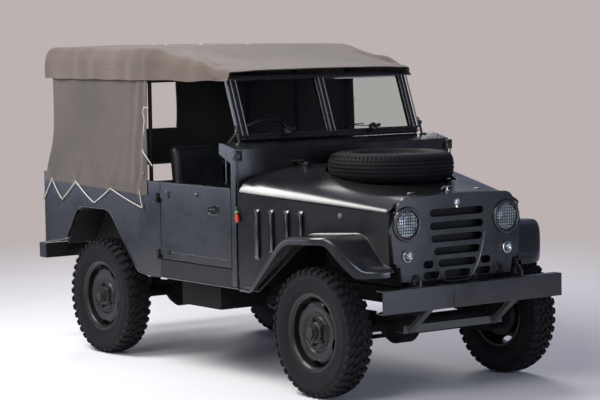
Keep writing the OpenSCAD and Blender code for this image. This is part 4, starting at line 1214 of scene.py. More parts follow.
def make_spare():
    centre = middle("spare_tyre")
    half, r = TYRE_W / 2, TYRE_R
    bead = 0.2046
    side = [(bead, -half + 0.018), (bead + 0.010, -half + 0.010), (bead + 0.028, -half + 0.003),
            (bead + 0.052, -half + 0.0005), (bead + 0.056, -half + 0.0025),
            (bead + 0.080, -half + 0.001),
            (r - 0.050, -half + 0.004), (r - 0.032, -half + 0.012), (r - 0.018, -half + 0.026),
            (r - 0.010, -half + 0.036), (r - 0.0125, -half + 0.040), (r - 0.0055, -half + 0.044),
            (r - 0.0025, -half + 0.058), (r - 0.0095, -half + 0.060), (r - 0.0095, -half + 0.063),
            (r - 0.0018, -half + 0.065), (r - 0.0008, -half + 0.078), (r - 0.0080, -half + 0.0795)]
    profile = side + [(rr, -x) for rr, x in reversed(side)]
    carcass = turned(profile, centre, (0, 0, 1), 120, closed=True)
    lugs = []
    verts, faces = [], []
    count = 84
    for k in range(count):
        for sign in (-1, 1):
            a = 2 * math.pi * (k + (0.5 if sign > 0 else 0)) / count
            start = len(verts)
            for da in (-0.013, 0.013):
                for height in (0.045, 0.069):
                    for rr in (r - 0.030, r - 0.006 - (height - 0.045) * 0.62):
                        verts.append(centre + Vector((math.cos(a + da) * rr, math.sin(a + da) * rr,
                                                      sign * height)))
            turn = 1 if sign > 0 else -1
            faces += [tuple(start + i for i in f[::turn]) for f in BLOCK_FACES]
    lugs.append(mesh_object("lugs", verts, faces, 30))
    place(join("spare_tyre_ribbed", [carcass] + lugs), "bonnet_body", RUBBER, "tyre",
          ("spare_tyre",))
    wheel = wheel_mesh("spare_wheel_pressed", Vector((0, 0, 0)), 1, spare=True)
    wheel.data.transform(Matrix.Translation(centre) @ Matrix.Rotation(-math.pi / 2, 4, "Y"))
    place(wheel, "bonnet_body", GREEN_DULL, "body_paint", ("spare_wheel",))
# ---------------------------------------------------------------- body and screen details
def side_pair(name, make, body, material, mirror_body=None):
    """A piece made for the left side (positive x), and its mirror on the right."""
    left = make()
    left.name = "left_" + name
    right = mirrored_copy(left, "right_" + name)
    place(left, body, material)
    place(right, mirror_body or body, material)


def door_details():
    x = SIDE_X
    parts = []
    for z in (BELT_Z - 0.095, BELT_Z - 0.427):
        for dy in (0.020, 0.050):
            parts.append(turned([(0, 0), (0.0055, 0), (0.005, 0.002), (0.002, 0.0032), (0, 0.0034)],
                                (x + 0.0055, DOOR_Y1 - 0.090 + dy, z + 0.015), (1, 0, 0), 14))
    lip = [Vector((x - 0.0005, DOOR_Y0 + 0.006 + (DOOR_Y1 - DOOR_Y0 - 0.012) * k / 20,
                   BELT_Z - 0.0035))
           for k in range(21)]
    parts.append(tube(lip, 0.0042, 8))
    low_seam = [Vector((x, DOOR_Y0 + 0.012 + (DOOR_Y1 - DOOR_Y0 - 0.024) * k / 20, 0.700))
                for k in range(21)]
    parts.append(tube(low_seam, 0.0022, 6))
    return join("door_trim", parts)


def door_handle():
    """The rim round the cup behind the pull, its bar and the small lock above the hinge side."""
    y, z, x = -0.397, 0.974, SIDE_X
    rim = []
    for k in range(40):
        a = 2 * math.pi * k / 40
        rim.append(Vector((x + 0.0008,
                           y + 0.050 * math.copysign(abs(math.cos(a)) ** 0.6, math.cos(a)),
                           z + 0.026 * math.copysign(abs(math.sin(a)) ** 0.6, math.sin(a)))))
    frame_ring = tube(rim, 0.0042, 8, True)
    bar = tube(smooth_path([(x + 0.002, y - 0.030, z + 0.004), (x + 0.011, y - 0.022, z + 0.006),
                            (x + 0.012, y, z + 0.006), (x + 0.011, y + 0.018, z + 0.004),
                            (x + 0.003, y + 0.026, z)], 6), 0.0048, 10)
    knob = turned([(0, 0), (0.012, 0), (0.013, 0.004), (0.008, 0.009), (0.010, 0.012), (0, 0.013)],
                  (x, -0.223, 1.048), (1, 0, 0), 24)
    lock = turned([(0, 0), (0.010, 0), (0.010, 0.003), (0.006, 0.005), (0, 0.005)],
                  (x, DOOR_Y1 - 0.075, 1.046), (1, 0, 0), 20)
    slot_plate = block((x, DOOR_Y1 - 0.105, 1.034), (x + 0.0035, DOOR_Y1 - 0.030, 1.060), 0.0016)
    return join("door_handle", [frame_ring, bar, knob, lock, slot_plate])


# A flat near-black disc on the door skin: painted shade standing in for the hollow behind the
# handle.
def door_cup_painted_shade():
    y, z, x = -0.397, 0.974, SIDE_X
    ring = []
    for k in range(40):
        a = 2 * math.pi * k / 40
        ring.append((y + 0.047 * math.copysign(abs(math.cos(a)) ** 0.6, math.cos(a)),
                     z + 0.0235 * math.copysign(abs(math.sin(a)) ** 0.6, math.sin(a))))
    verts = [(x + 0.0010, a, b) for a, b in ring] + [(x + 0.0002, a, b) for a, b in ring]
    faces = [tuple(range(40)), tuple(range(79, 39, -1))]
    faces += [(k, k + 40, (k + 1) % 40 + 40, (k + 1) % 40) for k in range(40)]
    return mesh_object("door_cup_painted_shade", verts, faces)


def body_trim():
    """Beads and rivets on the body sides."""
    x = SIDE_X
    parts = []
    rail = [Vector((x - 0.002, DOOR_Y1 + 0.008 + (TAIL_Y - DOOR_Y1 - 0.012) * k / 30,
                    BELT_Z - 0.003))
            for k in range(31)]
    parts.append(tube(rail, 0.004, 8))
    from_axle = [(-0.640, 0.545), (-0.532, 0.556), (-0.500, 0.580), (-0.234, 0.868),
                 (-0.200, 0.896), (-0.150, 0.911), (0.110, 0.911), (0.165, 0.902),
                 (0.205, 0.872), (0.295, 0.752), (0.330, 0.706), (0.380, 0.685)]
    arch = [(REAR_AXLE.y + step, z) for step, z in from_axle] + [(TAIL_Y - 0.004, 0.655)]
    parts.append(tube([(x - 0.001, y, z) for y, z in resampled_flat(arch, 90)], 0.0055, 8))
    sill = [Vector((x - 0.001, COWL_Y + 0.006 + (DOOR_Y1 - COWL_Y) * k / 20, SILL_Z + 0.006))
            for k in range(21)]
    parts.append(tube(sill, 0.006, 8))
    post = [Vector((x - 0.003, COWL_Y + 0.004, 0.60 + 0.70 * k / 20)) for k in range(21)]
    parts.append(tube(post, 0.004, 8))
    for y, z in ((DOOR_Y1 + 0.020, 0.60), (DOOR_Y1 + 0.020, 0.75), (DOOR_Y1 + 0.020, 0.905),
                 (COWL_Y + 0.024, 0.64), (COWL_Y + 0.024, 0.80), (COWL_Y + 0.024, 1.18),
                 (TAIL_Y - 0.020, 0.70), (TAIL_Y - 0.020, 0.86), (TAIL_Y - 0.020, 1.02)):
        parts.append(turned([(0, 0), (0.005, 0), (0.0045, 0.0015), (0, 0.0026)], (x, y, z),
                            (1, 0, 0), 12))
    return join("body_trim", parts)


def resampled_flat(points, count):
    return [(p.x, p.y) for p in resampled([Vector((a, b, 0)) for a, b in points], count)]


def bonnet_latch():
    y = -1.30
    x = panel_x(y)
    out, _ = panel_out()
    base = Vector((x, y, 0.985))
    return join("bonnet_latch", [
        turned([(0, 0), (0.013, 0), (0.013, 0.003), (0.006, 0.005), (0, 0.005)], base, out, 20),
        tube([base + out * 0.006 + Vector((0, -0.004, 0.016)), base + out * 0.009,
              base + out * 0.006 + Vector((0, 0.004, -0.018))], 0.003, 8)])


SCREEN_LEAN = math.radians(21)


def on_screen(x, along, out):
    """A point on the windscreen frame: along runs up its slope, out runs forward of it."""
    foot = Vector((0, COWL_Y + 0.140, high("cowl").z + 0.0003 + 0.015 * math.sin(SCREEN_LEAN)))
    up = Vector((0, math.sin(SCREEN_LEAN), math.cos(SCREEN_LEAN)))
    forward = Vector((0, -math.cos(SCREEN_LEAN), math.sin(SCREEN_LEAN)))
    return foot + Vector((x, 0, 0)) + up * along + forward * out


def screen_ridges():
    """Bright raised ridges down both edges of each upright of the windscreen."""
    parts = []
    for x in (-0.641, -0.607, -0.016, 0.016, 0.607, 0.641):
        path = [on_screen(x, 0.030 + 0.340 * k / 12, 0.0145) for k in range(13)]
        parts.append(tube(path, 0.0042, 8))
    return join("windscreen_ridges", parts)


def screen_beads():
    parts = []
    for along in (0.010, 0.036, 0.366):
        path = [on_screen(-0.640 + 1.28 * k / 20, along, 0.0150) for k in range(21)]
        parts.append(tube(path, 0.0034, 8))
    return join("windscreen_beads", parts)


def screen_fittings():
    parts, straps = [], []
    for side in (-1, 1):
        base = on_screen(side * 0.655, 0.062, 0.004)
        parts.append(turned([(0, 0), (0.013, 0), (0.014, 0.003), (0.014, 0.016), (0.010, 0.022),
                             (0, 0.023)], base, (side, 0, 0), 16))
        parts.append(tube([base + Vector((side * 0.011, 0.000, 0.004)),
                           base + Vector((side * 0.013, 0.018, 0.030))], 0.005, 10))
        parts.append(tube([base + Vector((side * 0.008, -0.004, -0.010)),
                           on_screen(side * 0.668, -0.030, -0.004)], 0.0075, 10))
        parts.append(block((side * 0.640, COWL_Y + 0.120, 1.330),
                           (side * 0.690, COWL_Y + 0.165, 1.357),
                           0.004))
        bracket = block((side * 0.742, COWL_Y + 0.002, 1.262),
                        (side * 0.790, COWL_Y + 0.030, 1.318), 0.004)
        parts.append(bracket)
        hang = [(0.010, 0.010, -0.012), (0.014, 0.045, -0.075), (0.012, 0.060, -0.125)]
        straps.append(tube(smooth_path(steps_from(base, side, hang), 8), 0.0032, 8))
    for x, reach in ((-0.329, 0.155), (0.292, 0.165)):
        spot = on_screen(x, 0.044, 0.020)
        parts.append(turned([(0, -0.014), (0.020, -0.014), (0.024, -0.008), (0.024, 0.012),
                             (0.018, 0.018), (0.008, 0.020), (0.007, 0.030), (0, 0.031)],
                            spot, (0, -math.cos(SCREEN_LEAN), math.sin(SCREEN_LEAN)), 28))
        parts.append(turned([(0, 0), (0.011, 0), (0.011, 0.030), (0.008, 0.034), (0, 0.034)],
                            spot + Vector((0.018, -0.004, 0.004)), (1, 0, 0.25), 18))
        arm = [spot + Vector((0, -0.026, 0.010)),
               on_screen(x - reach * 0.5, 0.053, 0.026), on_screen(x - reach, 0.066, 0.012)]
        straps.append(tube(smooth_path(arm, 6), 0.0026, 8))
        blade_a = on_screen(x - reach - 0.10, 0.062, 0.008)
        blade_b = on_screen(x - reach + 0.115, 0.072, 0.008)
        straps.append(tube([blade_a, blade_b], 0.0034, 6))
    place(join("windscreen_fittings", parts), BODY, GREEN)
    place(join("wipers_and_straps", straps), BODY, BLACK_RUBBER_AND_SHADE)


def pepper():
    """The small red pepper charm that hangs from the right side of the cowl."""
    x, y, z = -SIDE_X - 0.0145, -0.650, 0.951
    pod = []
    for k in range(13):
        t = k / 12
        r = 0.0150 * math.sin(math.pi * (0.12 + 0.88 * (1 - t))) ** 0.8 * (1 - 0.25 * t)
        pod.append((max(r, 0.0004), -0.060 * t))
    body = turned([(0, 0.001)] + pod, (x, y, z + 0.028), (0, 0.12, 1), 20)
    body.name = "charm_pod"
    place(body, BODY, PEPPER_RED)
    cap = join("charm_cap", [
        turned([(0, 0.006), (0.005, 0.004), (0.012, -0.002), (0.014, -0.008), (0.012, -0.008),
                (0, 0)], (x, y, z + 0.030), (0, 0.12, 1), 16),
        tube([(x, y, z + 0.034), (x, y + 0.002, z + 0.046), (x + 0.004, y + 0.004, z + 0.058)],
             0.0022, 8)])
    place(cap, BODY, PEPPER_GREEN)


def make_body_details():
    side_pair("door_trim", door_details, "left_door_body", GREEN, "right_door_body")
    side_pair("door_handle", door_handle, "left_door_body", GREEN, "right_door_body")
    # The door cup is a painted shade disc behind each handle.
    side_pair("door_cup_painted_shade", door_cup_painted_shade, "left_door_body", BLACK_RUBBER_AND_SHADE, "right_door_body")
    side_pair("body_side_trim", body_trim, BODY, GREEN)
    side_pair("bonnet_latch", bonnet_latch, BODY, STEEL)
    place(screen_ridges(), BODY, WORN_EDGE)
    place(screen_beads(), BODY, GREEN)
    screen_fittings()
    pepper()
# ---------------------------------------------------------------- canvas
def swell(x, y, z, scale, seed=0):
    """Smooth noise from -1 to 1."""
    return noise.noise(Vector((x * scale + seed, y * scale - seed, z * scale + 2 * seed)))


BOW_YS = [DOOR_Y1 + 0.161, (DOOR_Y1 + 0.161 + TAIL_Y - 0.116) / 2, TAIL_Y - 0.116]
ROOF_REAR, ROOF_BREAK, ROOF_FRONT = TAIL_Y - 0.045, BOW_YS[0] - 0.018, -0.403
ROOF_HALF = SIDE_X - 0.002
VALANCE = 1.702


def roof_half_section(half_w, top, radius, bottom):
    """From the middle of the roof out and down to the valance's edge: (x, z) points."""
    points = [Vector((half_w * 0.9 * k / 20, top + 0.006 * (1 - (k / 20) ** 2))) for k in range(20)]
    centre = Vector((half_w - radius, top - radius))
    for k in range(13):
        a = math.pi / 2 * (1 - k / 12)
        p = centre + Vector((math.cos(a), math.sin(a))) * radius
        if p.x > points[-1].x:
            points.append(p)
    drop = max(top - radius - bottom, 0.001)
    for k in range(1, 9):
        points.append(Vector((half_w, top - radius - drop * k / 8)))
    return resampled([Vector((p.x, p.y, 0)) for p in points], 41)


def roof_point(side, across, y):
    """A point of the roof: across runs from 0 at the middle to 1 at the valance edge."""
    if y >= ROOF_BREAK:
        share = 0.0
    else:
        share = (ROOF_BREAK - y) / (ROOF_BREAK - ROOF_FRONT)
    half_w = ROOF_HALF + (0.670 - ROOF_HALF) * share
    top = 1.8965 + (1.757 - 1.8965) * share
    radius = 0.085 + (0.020 - 0.085) * share
    bottom = VALANCE
    if share:
        bottom = VALANCE + 0.004 * math.sin(share * 9)
    bottom = min(bottom, top - radius - 0.012)
    line = roof_half_section(half_w, top, radius, bottom)
    place_on = across * 40
    k = min(int(place_on), 39)
    p = line[k].lerp(line[k + 1], place_on - k)
    return Vector((side * p.x, y, p.y)), share


def roof_lift(side, across, y, share):
    """How far the cloth stands out from its pattern: sag between bows, pulls and folds."""
    stations = BOW_YS
    sag = 0.0
    if y > BOW_YS[0]:
        for a, b in zip(stations, stations[1:]):
            if a <= y <= b:
                t = (y - a) / (b - a)
                sag = -0.013 * math.sin(math.pi * t) ** 1.2
    else:
        t = min(max((BOW_YS[0] - y) / (BOW_YS[0] - ROOF_FRONT), 0), 1)
        sag = -0.016 * math.sin(math.pi * t) ** 1.5
    flat = max(0.0, 1 - across / 0.72)
    lift = sag * min(1, flat * 2.2)
    for b in BOW_YS:
        lift += 0.0025 * math.exp(-((y - b) / 0.018) ** 2) * min(1, flat * 4)
    lift += 0.0022 * swell(side * across, y * 0.8, 0, 2.2, 3)
    wall_part = min(max((across - 0.66) / 0.10, 0), 1)
    if share > 0.02:
        fold = 0.0
        for k, (slope, phase, width) in enumerate(((1.15, 0.60, 0.040), (1.5, 0.86, 0.032),
                                                   (0.85, 0.30, 0.050))):
            where = across - (0.985 - slope * (0.92 - share) * 0.33) - 0.03 * (k - 1)
            fade = math.exp(-((share - phase) / 0.26) ** 2)
            fold += (0.010, 0.012, 0.007)[k] * math.exp(-(where / width) ** 2) * fade
            fold -= (0.008, 0.010, 0.006)[k] * math.exp(-((where + 0.055) / width) ** 2) * fade
        lift += fold * min(1, share * 5)
    lift += wall_part * 0.0028 * math.sin(y * 31 + 3 * swell(y, across, 0, 4, 1))
    lift += wall_part * 0.003 * swell(y, across * 2, side, 5, 7)
    return lift


def make_roof():
    along, across = 150, 82
    rows = [ROOF_REAR + (ROOF_FRONT - ROOF_REAR) * j / along for j in range(along + 1)]
    grid = []
    for y in rows:
        row = []
        for i in range(across + 1):
            side = -1 if i < across / 2 else 1
            share_out = abs(i - across / 2) / (across / 2)
            p, share = roof_point(side, share_out, y)
            row.append((p, side, share_out, share))
        grid.append(row)
    verts = []
    for j, row in enumerate(grid):
        for i, (p, side, out, share) in enumerate(row):
            left = row[max(i - 1, 0)][0]
            right = row[min(i + 1, across)][0]
            before = grid[max(j - 1, 0)][i][0]
            after = grid[min(j + 1, along)][i][0]
            normal = (right - left).cross(before - after).normalized()
            if normal.dot(Vector((p.x, 0, 1.2))) < 0:
                normal = -normal
            lift = roof_lift(side, out, p.y, share)
            q = p + normal * (lift - 0.002)
            edge = abs(out - 1)
            if edge < 1e-6:
                q.z += 0.002 * math.sin(p.y * 23)
            verts.append(q)
    n = across + 1
    faces = [(j * n + i, j * n + i + 1, (j + 1) * n + i + 1, (j + 1) * n + i)
             for j in range(along) for i in range(across)]
    skin = mesh_object("canvas_roof_sheet", verts, faces, 60)
    turn_outward(skin, Vector((0, 0.5, 1.0)))
    solid = skin.modifiers.new("solid", "SOLIDIFY")
    solid.thickness = 0.0028
    solid.offset = -1
    apply_modifiers(skin)
    skin.data.shade_smooth()
    place(skin, BODY, LIT_ROOF_CANVAS, "canvas", ("canvas_roof",))

    hems, seams = [], []
    for side in (-1, 1):
        column = 0 if side < 0 else across
        inward = 1 if side < 0 else -1
        edge = [Vector(verts[j * n + column]) for j in range(along + 1)]
        up = [Vector(verts[j * n + column + inward * 4]) for j in range(along + 1)]
        hems.append(ribbon(edge, up, side, 0.0016))
        seams.append(stitches([u.lerp(e, 0.12) + Vector((side * 0.0022, 0, 0))
                               for e, u in zip(edge, up)], 0.0009))
    front = [Vector(verts[along * n + i]) for i in range(across + 1)]
    back = [Vector(verts[(along - 3) * n + i]) for i in range(across + 1)]
    hems.append(ribbon(front, back, 0, 0.0016))
    hem = join("canvas_roof_hems", hems)
    place(hem, BODY, LIT_ROOF_CANVAS, "canvas")
    seam = join("canvas_roof_stitches", seams)
    place(seam, BODY, WEBBING)
    knobs = []
    for y, x in ((BOW_YS[1] + 0.26, -0.10), (BOW_YS[1], 0.0), (BOW_YS[0] + 0.03, 0.0),
                 (BOW_YS[2], 0.0)):
        z = 1.9000
        knobs.append(turned([(0, -0.006), (0.013, -0.006), (0.012, 0.001), (0.006, 0.0045),
                             (0, 0.005)], (x, y, z), (0, 0, 1), 20))
    place(join("bow_studs", knobs), BODY, BAKELITE)


def turn_outward(piece, centre):
    """Faces the sheet's normals away from a point inside the car."""
    build = bmesh.new()
    build.from_mesh(piece.data)
    bmesh.ops.recalc_face_normals(build, faces=build.faces)
    build.faces.ensure_lookup_table()
    total = sum(f.normal.dot(f.calc_center_median() - centre) * f.calc_area() for f in build.faces)
    if total < 0:
        bmesh.ops.reverse_faces(build, faces=build.faces)
    build.to_mesh(piece.data)
    build.free()


def ribbon(edge, up, side, out):
    """A doubled hem: a narrow strip over the sheet's edge."""
    verts = []
    for e, u in zip(edge, up):
        away = Vector((side, 0, 0)) if side else Vector((0, 0, 1))
        lower = e - (u - e).normalized() * 0.001
        verts += [lower + away * out, u + away * out]
    faces = [(2 * k, 2 * k + 1, 2 * k + 3, 2 * k + 2) for k in range(len(edge) - 1)]
    strip = mesh_object("hem", verts, faces, 60)
    solid = strip.modifiers.new("solid", "SOLIDIFY")
    solid.thickness = 0.0018
    solid.offset = 0
    apply_modifiers(strip)
    return strip


def stitches(path, radius):
    """A row of long stitches along a path."""
    even = resampled(path, max(4, int(sum((b - a).length for a, b in zip(path, path[1:])) / 0.012)))
    pieces = [tube([even[k], even[k + 1]], radius, 4) for k in range(0, len(even) - 1, 2)]
    return join("stitch_row", pieces)


SIDE_REAR = [(1.547, 1.057), (1.500, 1.175), (1.452, 1.294), (1.437, 1.380), (1.436, 1.464),
             (1.440, 1.590), (1.448, 1.700)]
CURTAIN_FRONT = BOW_YS[0] - 0.020
CURTAIN_TOP = VALANCE + 0.004
CURTAIN_FOOT_X, CURTAIN_TOP_X = 0.7825, 0.7655
HEM_FRONT_Z = 1.019
HEM_REAR_Y, HEM_REAR_Z = SIDE_REAR[0]
BELOW_BELT = 1.12  # the curtain lies close to the body side below this height
EYELETS = [(1.420, 1.060), (1.122, 1.057), (0.709, 1.035), (0.375, 1.033)]


def side_hem_z(y):
    share = min(max((y - CURTAIN_FRONT) / (HEM_REAR_Y - CURTAIN_FRONT), 0), 1)
    base = HEM_FRONT_Z + (HEM_REAR_Z - HEM_FRONT_Z) * share
    pull = 0.0
    for ey, _ in EYELETS:
        pull -= 0.006 * math.exp(-((y - ey) / 0.05) ** 2)
    return base + pull + 0.003


def curtain_x(z):
    """How far out the side curtain hangs at height z, before its folds."""
    return CURTAIN_FOOT_X + (CURTAIN_TOP_X - CURTAIN_FOOT_X) * min(1, (z - 1.03) / 0.66)


def side_point(u, v):
    """u runs from the front edge to the rear corner and round it; v from the hem upward."""
    wrap, corner_r = 0.88, 0.038
    rear_z = HEM_REAR_Z + (CURTAIN_TOP - HEM_REAR_Z) * v
    rear_y = between([(z, y) for y, z in SIDE_REAR], rear_z)
    if u <= wrap:
        t = u / wrap
        y = CURTAIN_FRONT + (rear_y - 0.040 - CURTAIN_FRONT) * t
        hem = side_hem_z(y)
        z = hem + (CURTAIN_TOP - hem) * v
        x = curtain_x(z)
        turned_in = 0.0
    else:
        t = (u - wrap) / (1 - wrap)
        hem = side_hem_z(1.54)
        z = hem + (CURTAIN_TOP - hem) * v
        rear_y = between([(zz, yy) for yy, zz in SIDE_REAR], z)
        angle = min(t * 1.6, 1.0) * math.pi / 2
        y = rear_y - 0.040 + corner_r * math.sin(angle)
        x = curtain_x(z) - corner_r * (1 - math.cos(angle)) - max(0, t - 0.625) / 0.375 * 0.030
        turned_in = t
    bulge = 0.0030 * swell(y, z, 0, 2.6, 11)
    edge_near = math.exp(-((y - CURTAIN_FRONT) / 0.16) ** 2)
    ripple = math.sin((y - CURTAIN_FRONT) * 62 + z * 5 + swell(y, z, 0, 5, 2) * 2)
    bulge += 0.0045 * edge_near * ripple
    low_part = math.exp(-((z - 1.04) / 0.16) ** 2)
    for ey, ez in EYELETS:
        lean = (y - ey) + 0.35 * (z - ez)
        bulge += 0.0040 * low_part * math.exp(-(lean / 0.022) ** 2)
        lean = (y - ey) - 0.45 * (z - ez)
        bulge += 0.0030 * low_part * math.exp(-(lean / 0.026) ** 2)
    bulge += 0.0035 * low_part * swell(y, z, 0, 9, 5)
    bulge *= 1 - turned_in
    limit, lift = (0.0035, 0.0015) if z < BELOW_BELT else (0.007, 0)
    bulge = max(-0.0035, min(bulge, limit))
    return Vector((x + bulge + lift, y, z))


ROPE_R = 0.0028
EYELET_X, HOOK_X, HOOK_FOOT_X = 0.7875, 0.784, 0.777


def make_side_curtains():
    across, down = 90, 60
    for side, hand in ((-1, "right"), (1, "left")):
        def point(u, v):
            p = side_point(u, v)
            return Vector((side * p.x, p.y, p.z))
        sheet = sheet_grid(hand + "_canvas_side_sheet", point, across, down, 0)
        turn_outward(sheet, Vector((0, 0.8, 1.3)))
        solid = sheet.modifiers.new("solid", "SOLIDIFY")
        solid.thickness = 0.0026
        solid.offset = -1
        apply_modifiers(sheet)
        sheet.data.shade_smooth()
        place(sheet, BODY, CANVAS, "canvas", ("canvas_sides",))
        out = Vector((side * 0.0015, 0, 0))
        hem_low = [point(k / 90, 0) for k in range(80)]
        hem_up = [point(k / 90, 0.042) for k in range(80)]
        front_a = [point(0, k / 60) for k in range(61)]
        front_b = [point(0.026, k / 60) for k in range(61)]
        hems = [ribbon(hem_low, hem_up, side, 0.0012), ribbon(front_a, front_b, side, 0.0012)]
        hem = join(hand + "_canvas_side_hems", hems)
        place(hem, BODY, CANVAS, "canvas")
        seam = join(hand + "_canvas_side_stitches",
                    [stitches([p + out * 1.6 for p in [point(k / 90, 0.037) for k in range(80)]],
                              0.0009),
                     stitches([p + out * 1.6 for p in [point(0.0235, k / 60) for k in range(61)]],
                              0.0009)])
        place(seam, BODY, WEBBING)
        rings = []
        eyes = [Vector((side * EYELET_X, y, z + 0.006)) for y, z in EYELETS]
        for y, z in ((0.3262, 1.5405), (0.3305, 1.2850), (0.3262, 1.150)):
            p = side_point(0.03, (z - 1.02) / 0.68)
            eyes.append(Vector((side * (p.x + 0.003), y, z)))
        for p in eyes:
            rings.append(turned([(0.0045, -0.001), (0.0085, -0.001), (0.0085, 0.0012),
                                 (0.0065, 0.0022), (0.0045, 0.0012)], p, (side, 0, 0), 20, True))
        eyelets = join(hand + "_canvas_eyelets", rings)
        place(eyelets, BODY, STEEL)
        hooks_at = [Vector((side * HOOK_X, y, z)) for y, z in
                    ((1.528, 0.938), (1.302, 0.940), (0.912, 0.940), (0.348, 0.941))]
        line = [p for pair in zip(hooks_at, eyes) for p in pair]
        path = [line[0]]
        for a, b in zip(line, line[1:]):
            for k in range(1, 7):
                t = k / 6
                p = a.lerp(b, t)
                p.x += side * 0.0022 * math.sin(math.pi * t)
                p.z -= 0.004 * math.sin(math.pi * t)
                path.append(p)
        lace = tube(path, ROPE_R, 8)
        lace.name = hand + "_side_lacing"
        place(lace, BODY, ROPE)
        upper = [(0.003, -0.045, 0.004), (0.005, -0.02, -0.003), (0.004, 0.002, 0.001),
                 (0.006, 0.008, -0.030), (0.005, -0.002, -0.075), (0.006, 0.006, -0.130),
                 (0.005, 0.002, -0.180)]
        lower = [(0.003, 0.004, 0.002), (0.004, -0.020, -0.022), (0.001, -0.060, -0.056),
                 (-0.004, -0.092, -0.088)]
        ties = [tube(smooth_path(steps_from(eyes[4], side, upper), 6), ROPE_R, 8),
                tube(smooth_path(steps_from(eyes[5], side, lower), 6), ROPE_R, 8)]
        tie = join(hand + "_curtain_ties", ties)
        place(tie, BODY, ROPE)
        hooks = []
        for p in hooks_at:
            base = Vector((side * HOOK_FOOT_X, p.y, p.z))
            hooks.append(turned([(0, -0.001), (0.011, -0.001), (0.011, 0.002), (0.005, 0.004),
                                 (0, 0.004)], base + Vector((0, 0, 0.016)), (side, 0, 0), 16))
            bend = [(0.001, 0, 0.012), (0.010, 0, 0.004), (0.010, 0, -0.007), (0.003, 0, -0.009)]
            hooks.append(tube(smooth_path(steps_from(base, side, bend), 5), 0.0022, 8))
        place(join(hand + "_lacing_hooks", hooks), BODY, GREEN)


def make_rear_curtain():
    path = resampled(smooth_path([(1.530, 1.112, 0), (1.497, 1.180, 0), (1.459, 1.286, 0),
                                  (1.444, 1.380, 0), (1.441, 1.464, 0), (1.445, 1.600, 0),
                                  (1.452, 1.760, 0), (1.458, 1.862, 0)], 6), 61)
    half = 0.714
    across = 96

    def point(u, v):
        k = min(int(v * 60), 59)
        p = path[k].lerp(path[k + 1], v * 60 - k)
        x = -half + 2 * half * u
        folds = 0.0045 * swell(x, p.y, 0, 3.1, 21) + 0.002 * swell(x, p.y, 0, 9, 4)
        folds += 0.003 * math.sin(x * 19 + p.y * 3) * (1 - v)
        return Vector((x, p.x + folds - 0.003, p.y))

    sheet = sheet_grid("canvas_rear_sheet", point, across, 60, 0)
    build = bmesh.new()
    build.from_mesh(sheet.data)
    gone = [f for f in build.faces if abs(f.calc_center_median().x) < 0.180
            and 1.350 < f.calc_center_median().z < 1.655]
    bmesh.ops.delete(build, geom=gone, context="FACES")
    build.to_mesh(sheet.data)
    build.free()
    turn_outward(sheet, Vector((0, 0.8, 1.4)))
    solid = sheet.modifiers.new("solid", "SOLIDIFY")
    solid.thickness = 0.0026
    solid.offset = -1
    apply_modifiers(sheet)
    sheet.data.shade_smooth()
    place(sheet, BODY, CANVAS, "canvas", ("canvas_rear",))
    x0, x1 = -0.182, 0.182
    frame_path = []
    for a, b in (((x0, 1.348), (x1, 1.348)), ((x1, 1.348), (x1, 1.657)),
                 ((x1, 1.657), (x0, 1.657)), ((x0, 1.657), (x0, 1.348))):
        for k in range(20):
            t = k / 20
            x, z = a[0] + (b[0] - a[0]) * t, a[1] + (b[1] - a[1]) * t
            share = min(max((z - 1.112) / (1.862 - 1.112), 0), 1)
            y = point((x + half) / (2 * half), share).y
            frame_path.append(Vector((x, y + 0.001, z)))
    border = tube(frame_path, 0.0055, 8, True)
    border.name = "rear_window_binding"
    place(border, BODY, CANVAS, "canvas")
    hem = join("canvas_rear_hem", [ribbon([point(k / 96, 0) for k in range(97)],
                                          [point(k / 96, 0.05) for k in range(97)], 0, 0.0)])
    place(hem, BODY, CANVAS, "canvas")
# ---------------------------------------------------------------- seats
def stuffed(name, corner_a, corner_b, slope=0.0, pivot=None, puff=0.010, radius=0.03):
    """A stuffed pad: a box inflated by a cloth simulation, so it swells between its edges."""
    a, b = Vector(corner_a), Vector(corner_b)
    pad = block(a, b, radius, 3)
    remesh = pad.modifiers.new("remesh", "REMESH")
    remesh.mode = "VOXEL"
    remesh.voxel_size = 0.012
    apply_modifiers(pad)
    rest = [v.co.copy() for v in pad.data.vertices]
    cloth = pad.modifiers.new("stuffing", "CLOTH")
    cloth.settings.quality = 6
    cloth.settings.mass = 0.25
    cloth.settings.tension_stiffness = 26
    cloth.settings.compression_stiffness = 26
    cloth.settings.shear_stiffness = 12
    cloth.settings.bending_stiffness = 4
    cloth.settings.use_pressure = True
    cloth.settings.uniform_pressure_force = 4.0
    cloth.settings.effector_weights.gravity = 0
    cloth.collision_settings.use_collision = False
    cloth.point_cache.frame_start = 1
    cloth.point_cache.frame_end = 16
    scene = bpy.context.scene
    for step in range(1, 17):
        scene.frame_set(step)
    apply_modifiers(pad)
    scene.frame_set(1)
    for v, start in zip(pad.data.vertices, rest):
        move = v.co - start
        if move.length > puff:
            v.co = start + move.normalized() * puff
    smooth = pad.modifiers.new("smooth", "SUBSURF")
    smooth.levels = 1
    apply_modifiers(pad)
    normals = [v.normal.copy() for v in pad.data.vertices]
    for v, normal in zip(pad.data.vertices, normals):
        p = v.co.copy() + normal * 0.0016 * noise.noise(v.co * 14)
        p.z = max(p.z, a.z)
        v.co = p
    if pivot:
        pad.data.transform(Matrix.Translation(pivot) @ Matrix.Rotation(slope, 4, "X")
                           @ Matrix.Translation(-Vector(pivot)))
    pad.data.shade_smooth()
    pad.name = name
    return pad


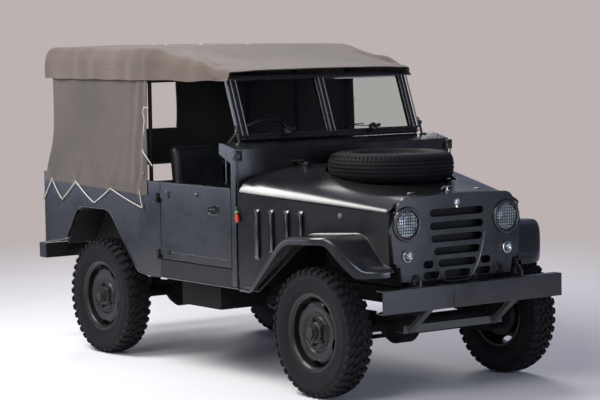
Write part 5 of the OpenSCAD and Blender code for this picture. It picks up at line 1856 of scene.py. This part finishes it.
SEAT_X = 0.430
SEAT_BACK_LEAN = math.radians(8)
BENCH_IN_X, BENCH_OUT_X = 0.462, 0.696
PIPING_INSET, PIPING_CORNER = 0.012, 0.03


def make_seats():
    y0 = DOOR_Y1 - 0.360
    for side, hand in ((-1, "right"), (1, "left")):
        x = side * SEAT_X
        cushion = stuffed(hand + "_seat_cushion", (x - 0.190, y0 + 0.010, 0.8006),
                          (x + 0.190, y0 + 0.388, 0.880), radius=0.028)
        place(cushion, BODY, VINYL, "vinyl", ("seat_cushions",))
        pivot = Vector((x, y0 + 0.4005, 0.860))
        back = stuffed(hand + "_seat_back", (x - 0.188, pivot.y + 0.010, pivot.z + 0.008),
                       (x + 0.188, pivot.y + 0.076, pivot.z + 0.460),
                       -SEAT_BACK_LEAN, pivot, radius=0.032)
        place(back, BODY, VINYL, "vinyl", ("seat_cushions",))
        bench_x0, bench_x1 = sorted((side * BENCH_IN_X, side * BENCH_OUT_X))
        bench = stuffed(hand + "_rear_bench_pad",
                        (bench_x0, REAR_AXLE.y - 0.412, low("rear_benches").z + 0.0003),
                        (bench_x1, TAIL_Y - 0.158, high("rear_benches").z - 0.008),
                        puff=0.007, radius=0.018)
        place(bench, BODY, VINYL, "vinyl", ("rear_benches",))
        piping = []
        for z in (0.872, 0.812):
            xa, xb = x - 0.196 + PIPING_INSET / 2, x + 0.196 - PIPING_INSET / 2
            ya, yb = y0 + 0.006 + PIPING_INSET / 2, y0 + 0.392 - PIPING_INSET / 2
            r = PIPING_CORNER
            loop = []
            for cx, cy, first in ((xb - r, yb - r, 0), (xa + r, yb - r, 90), (xa + r, ya + r, 180),
                                  (xb - r, ya + r, 270)):
                for k in range(7):
                    angle = math.radians(first + 15 * k)
                    loop.append((cx + r * math.cos(angle), cy + r * math.sin(angle), z))
            piping.append(tube(loop, 0.0032, 8, True))
        place(join(hand + "_seat_piping", piping), BODY, VINYL)
make_camera()
make_stage()
make_structure()
make_wheels()
make_bonnet()
make_spare()
make_fenders()
make_grille()
make_nose()
make_bumpers()
make_roof()
make_side_curtains()
make_rear_curtain()
make_body_details()
make_seats()
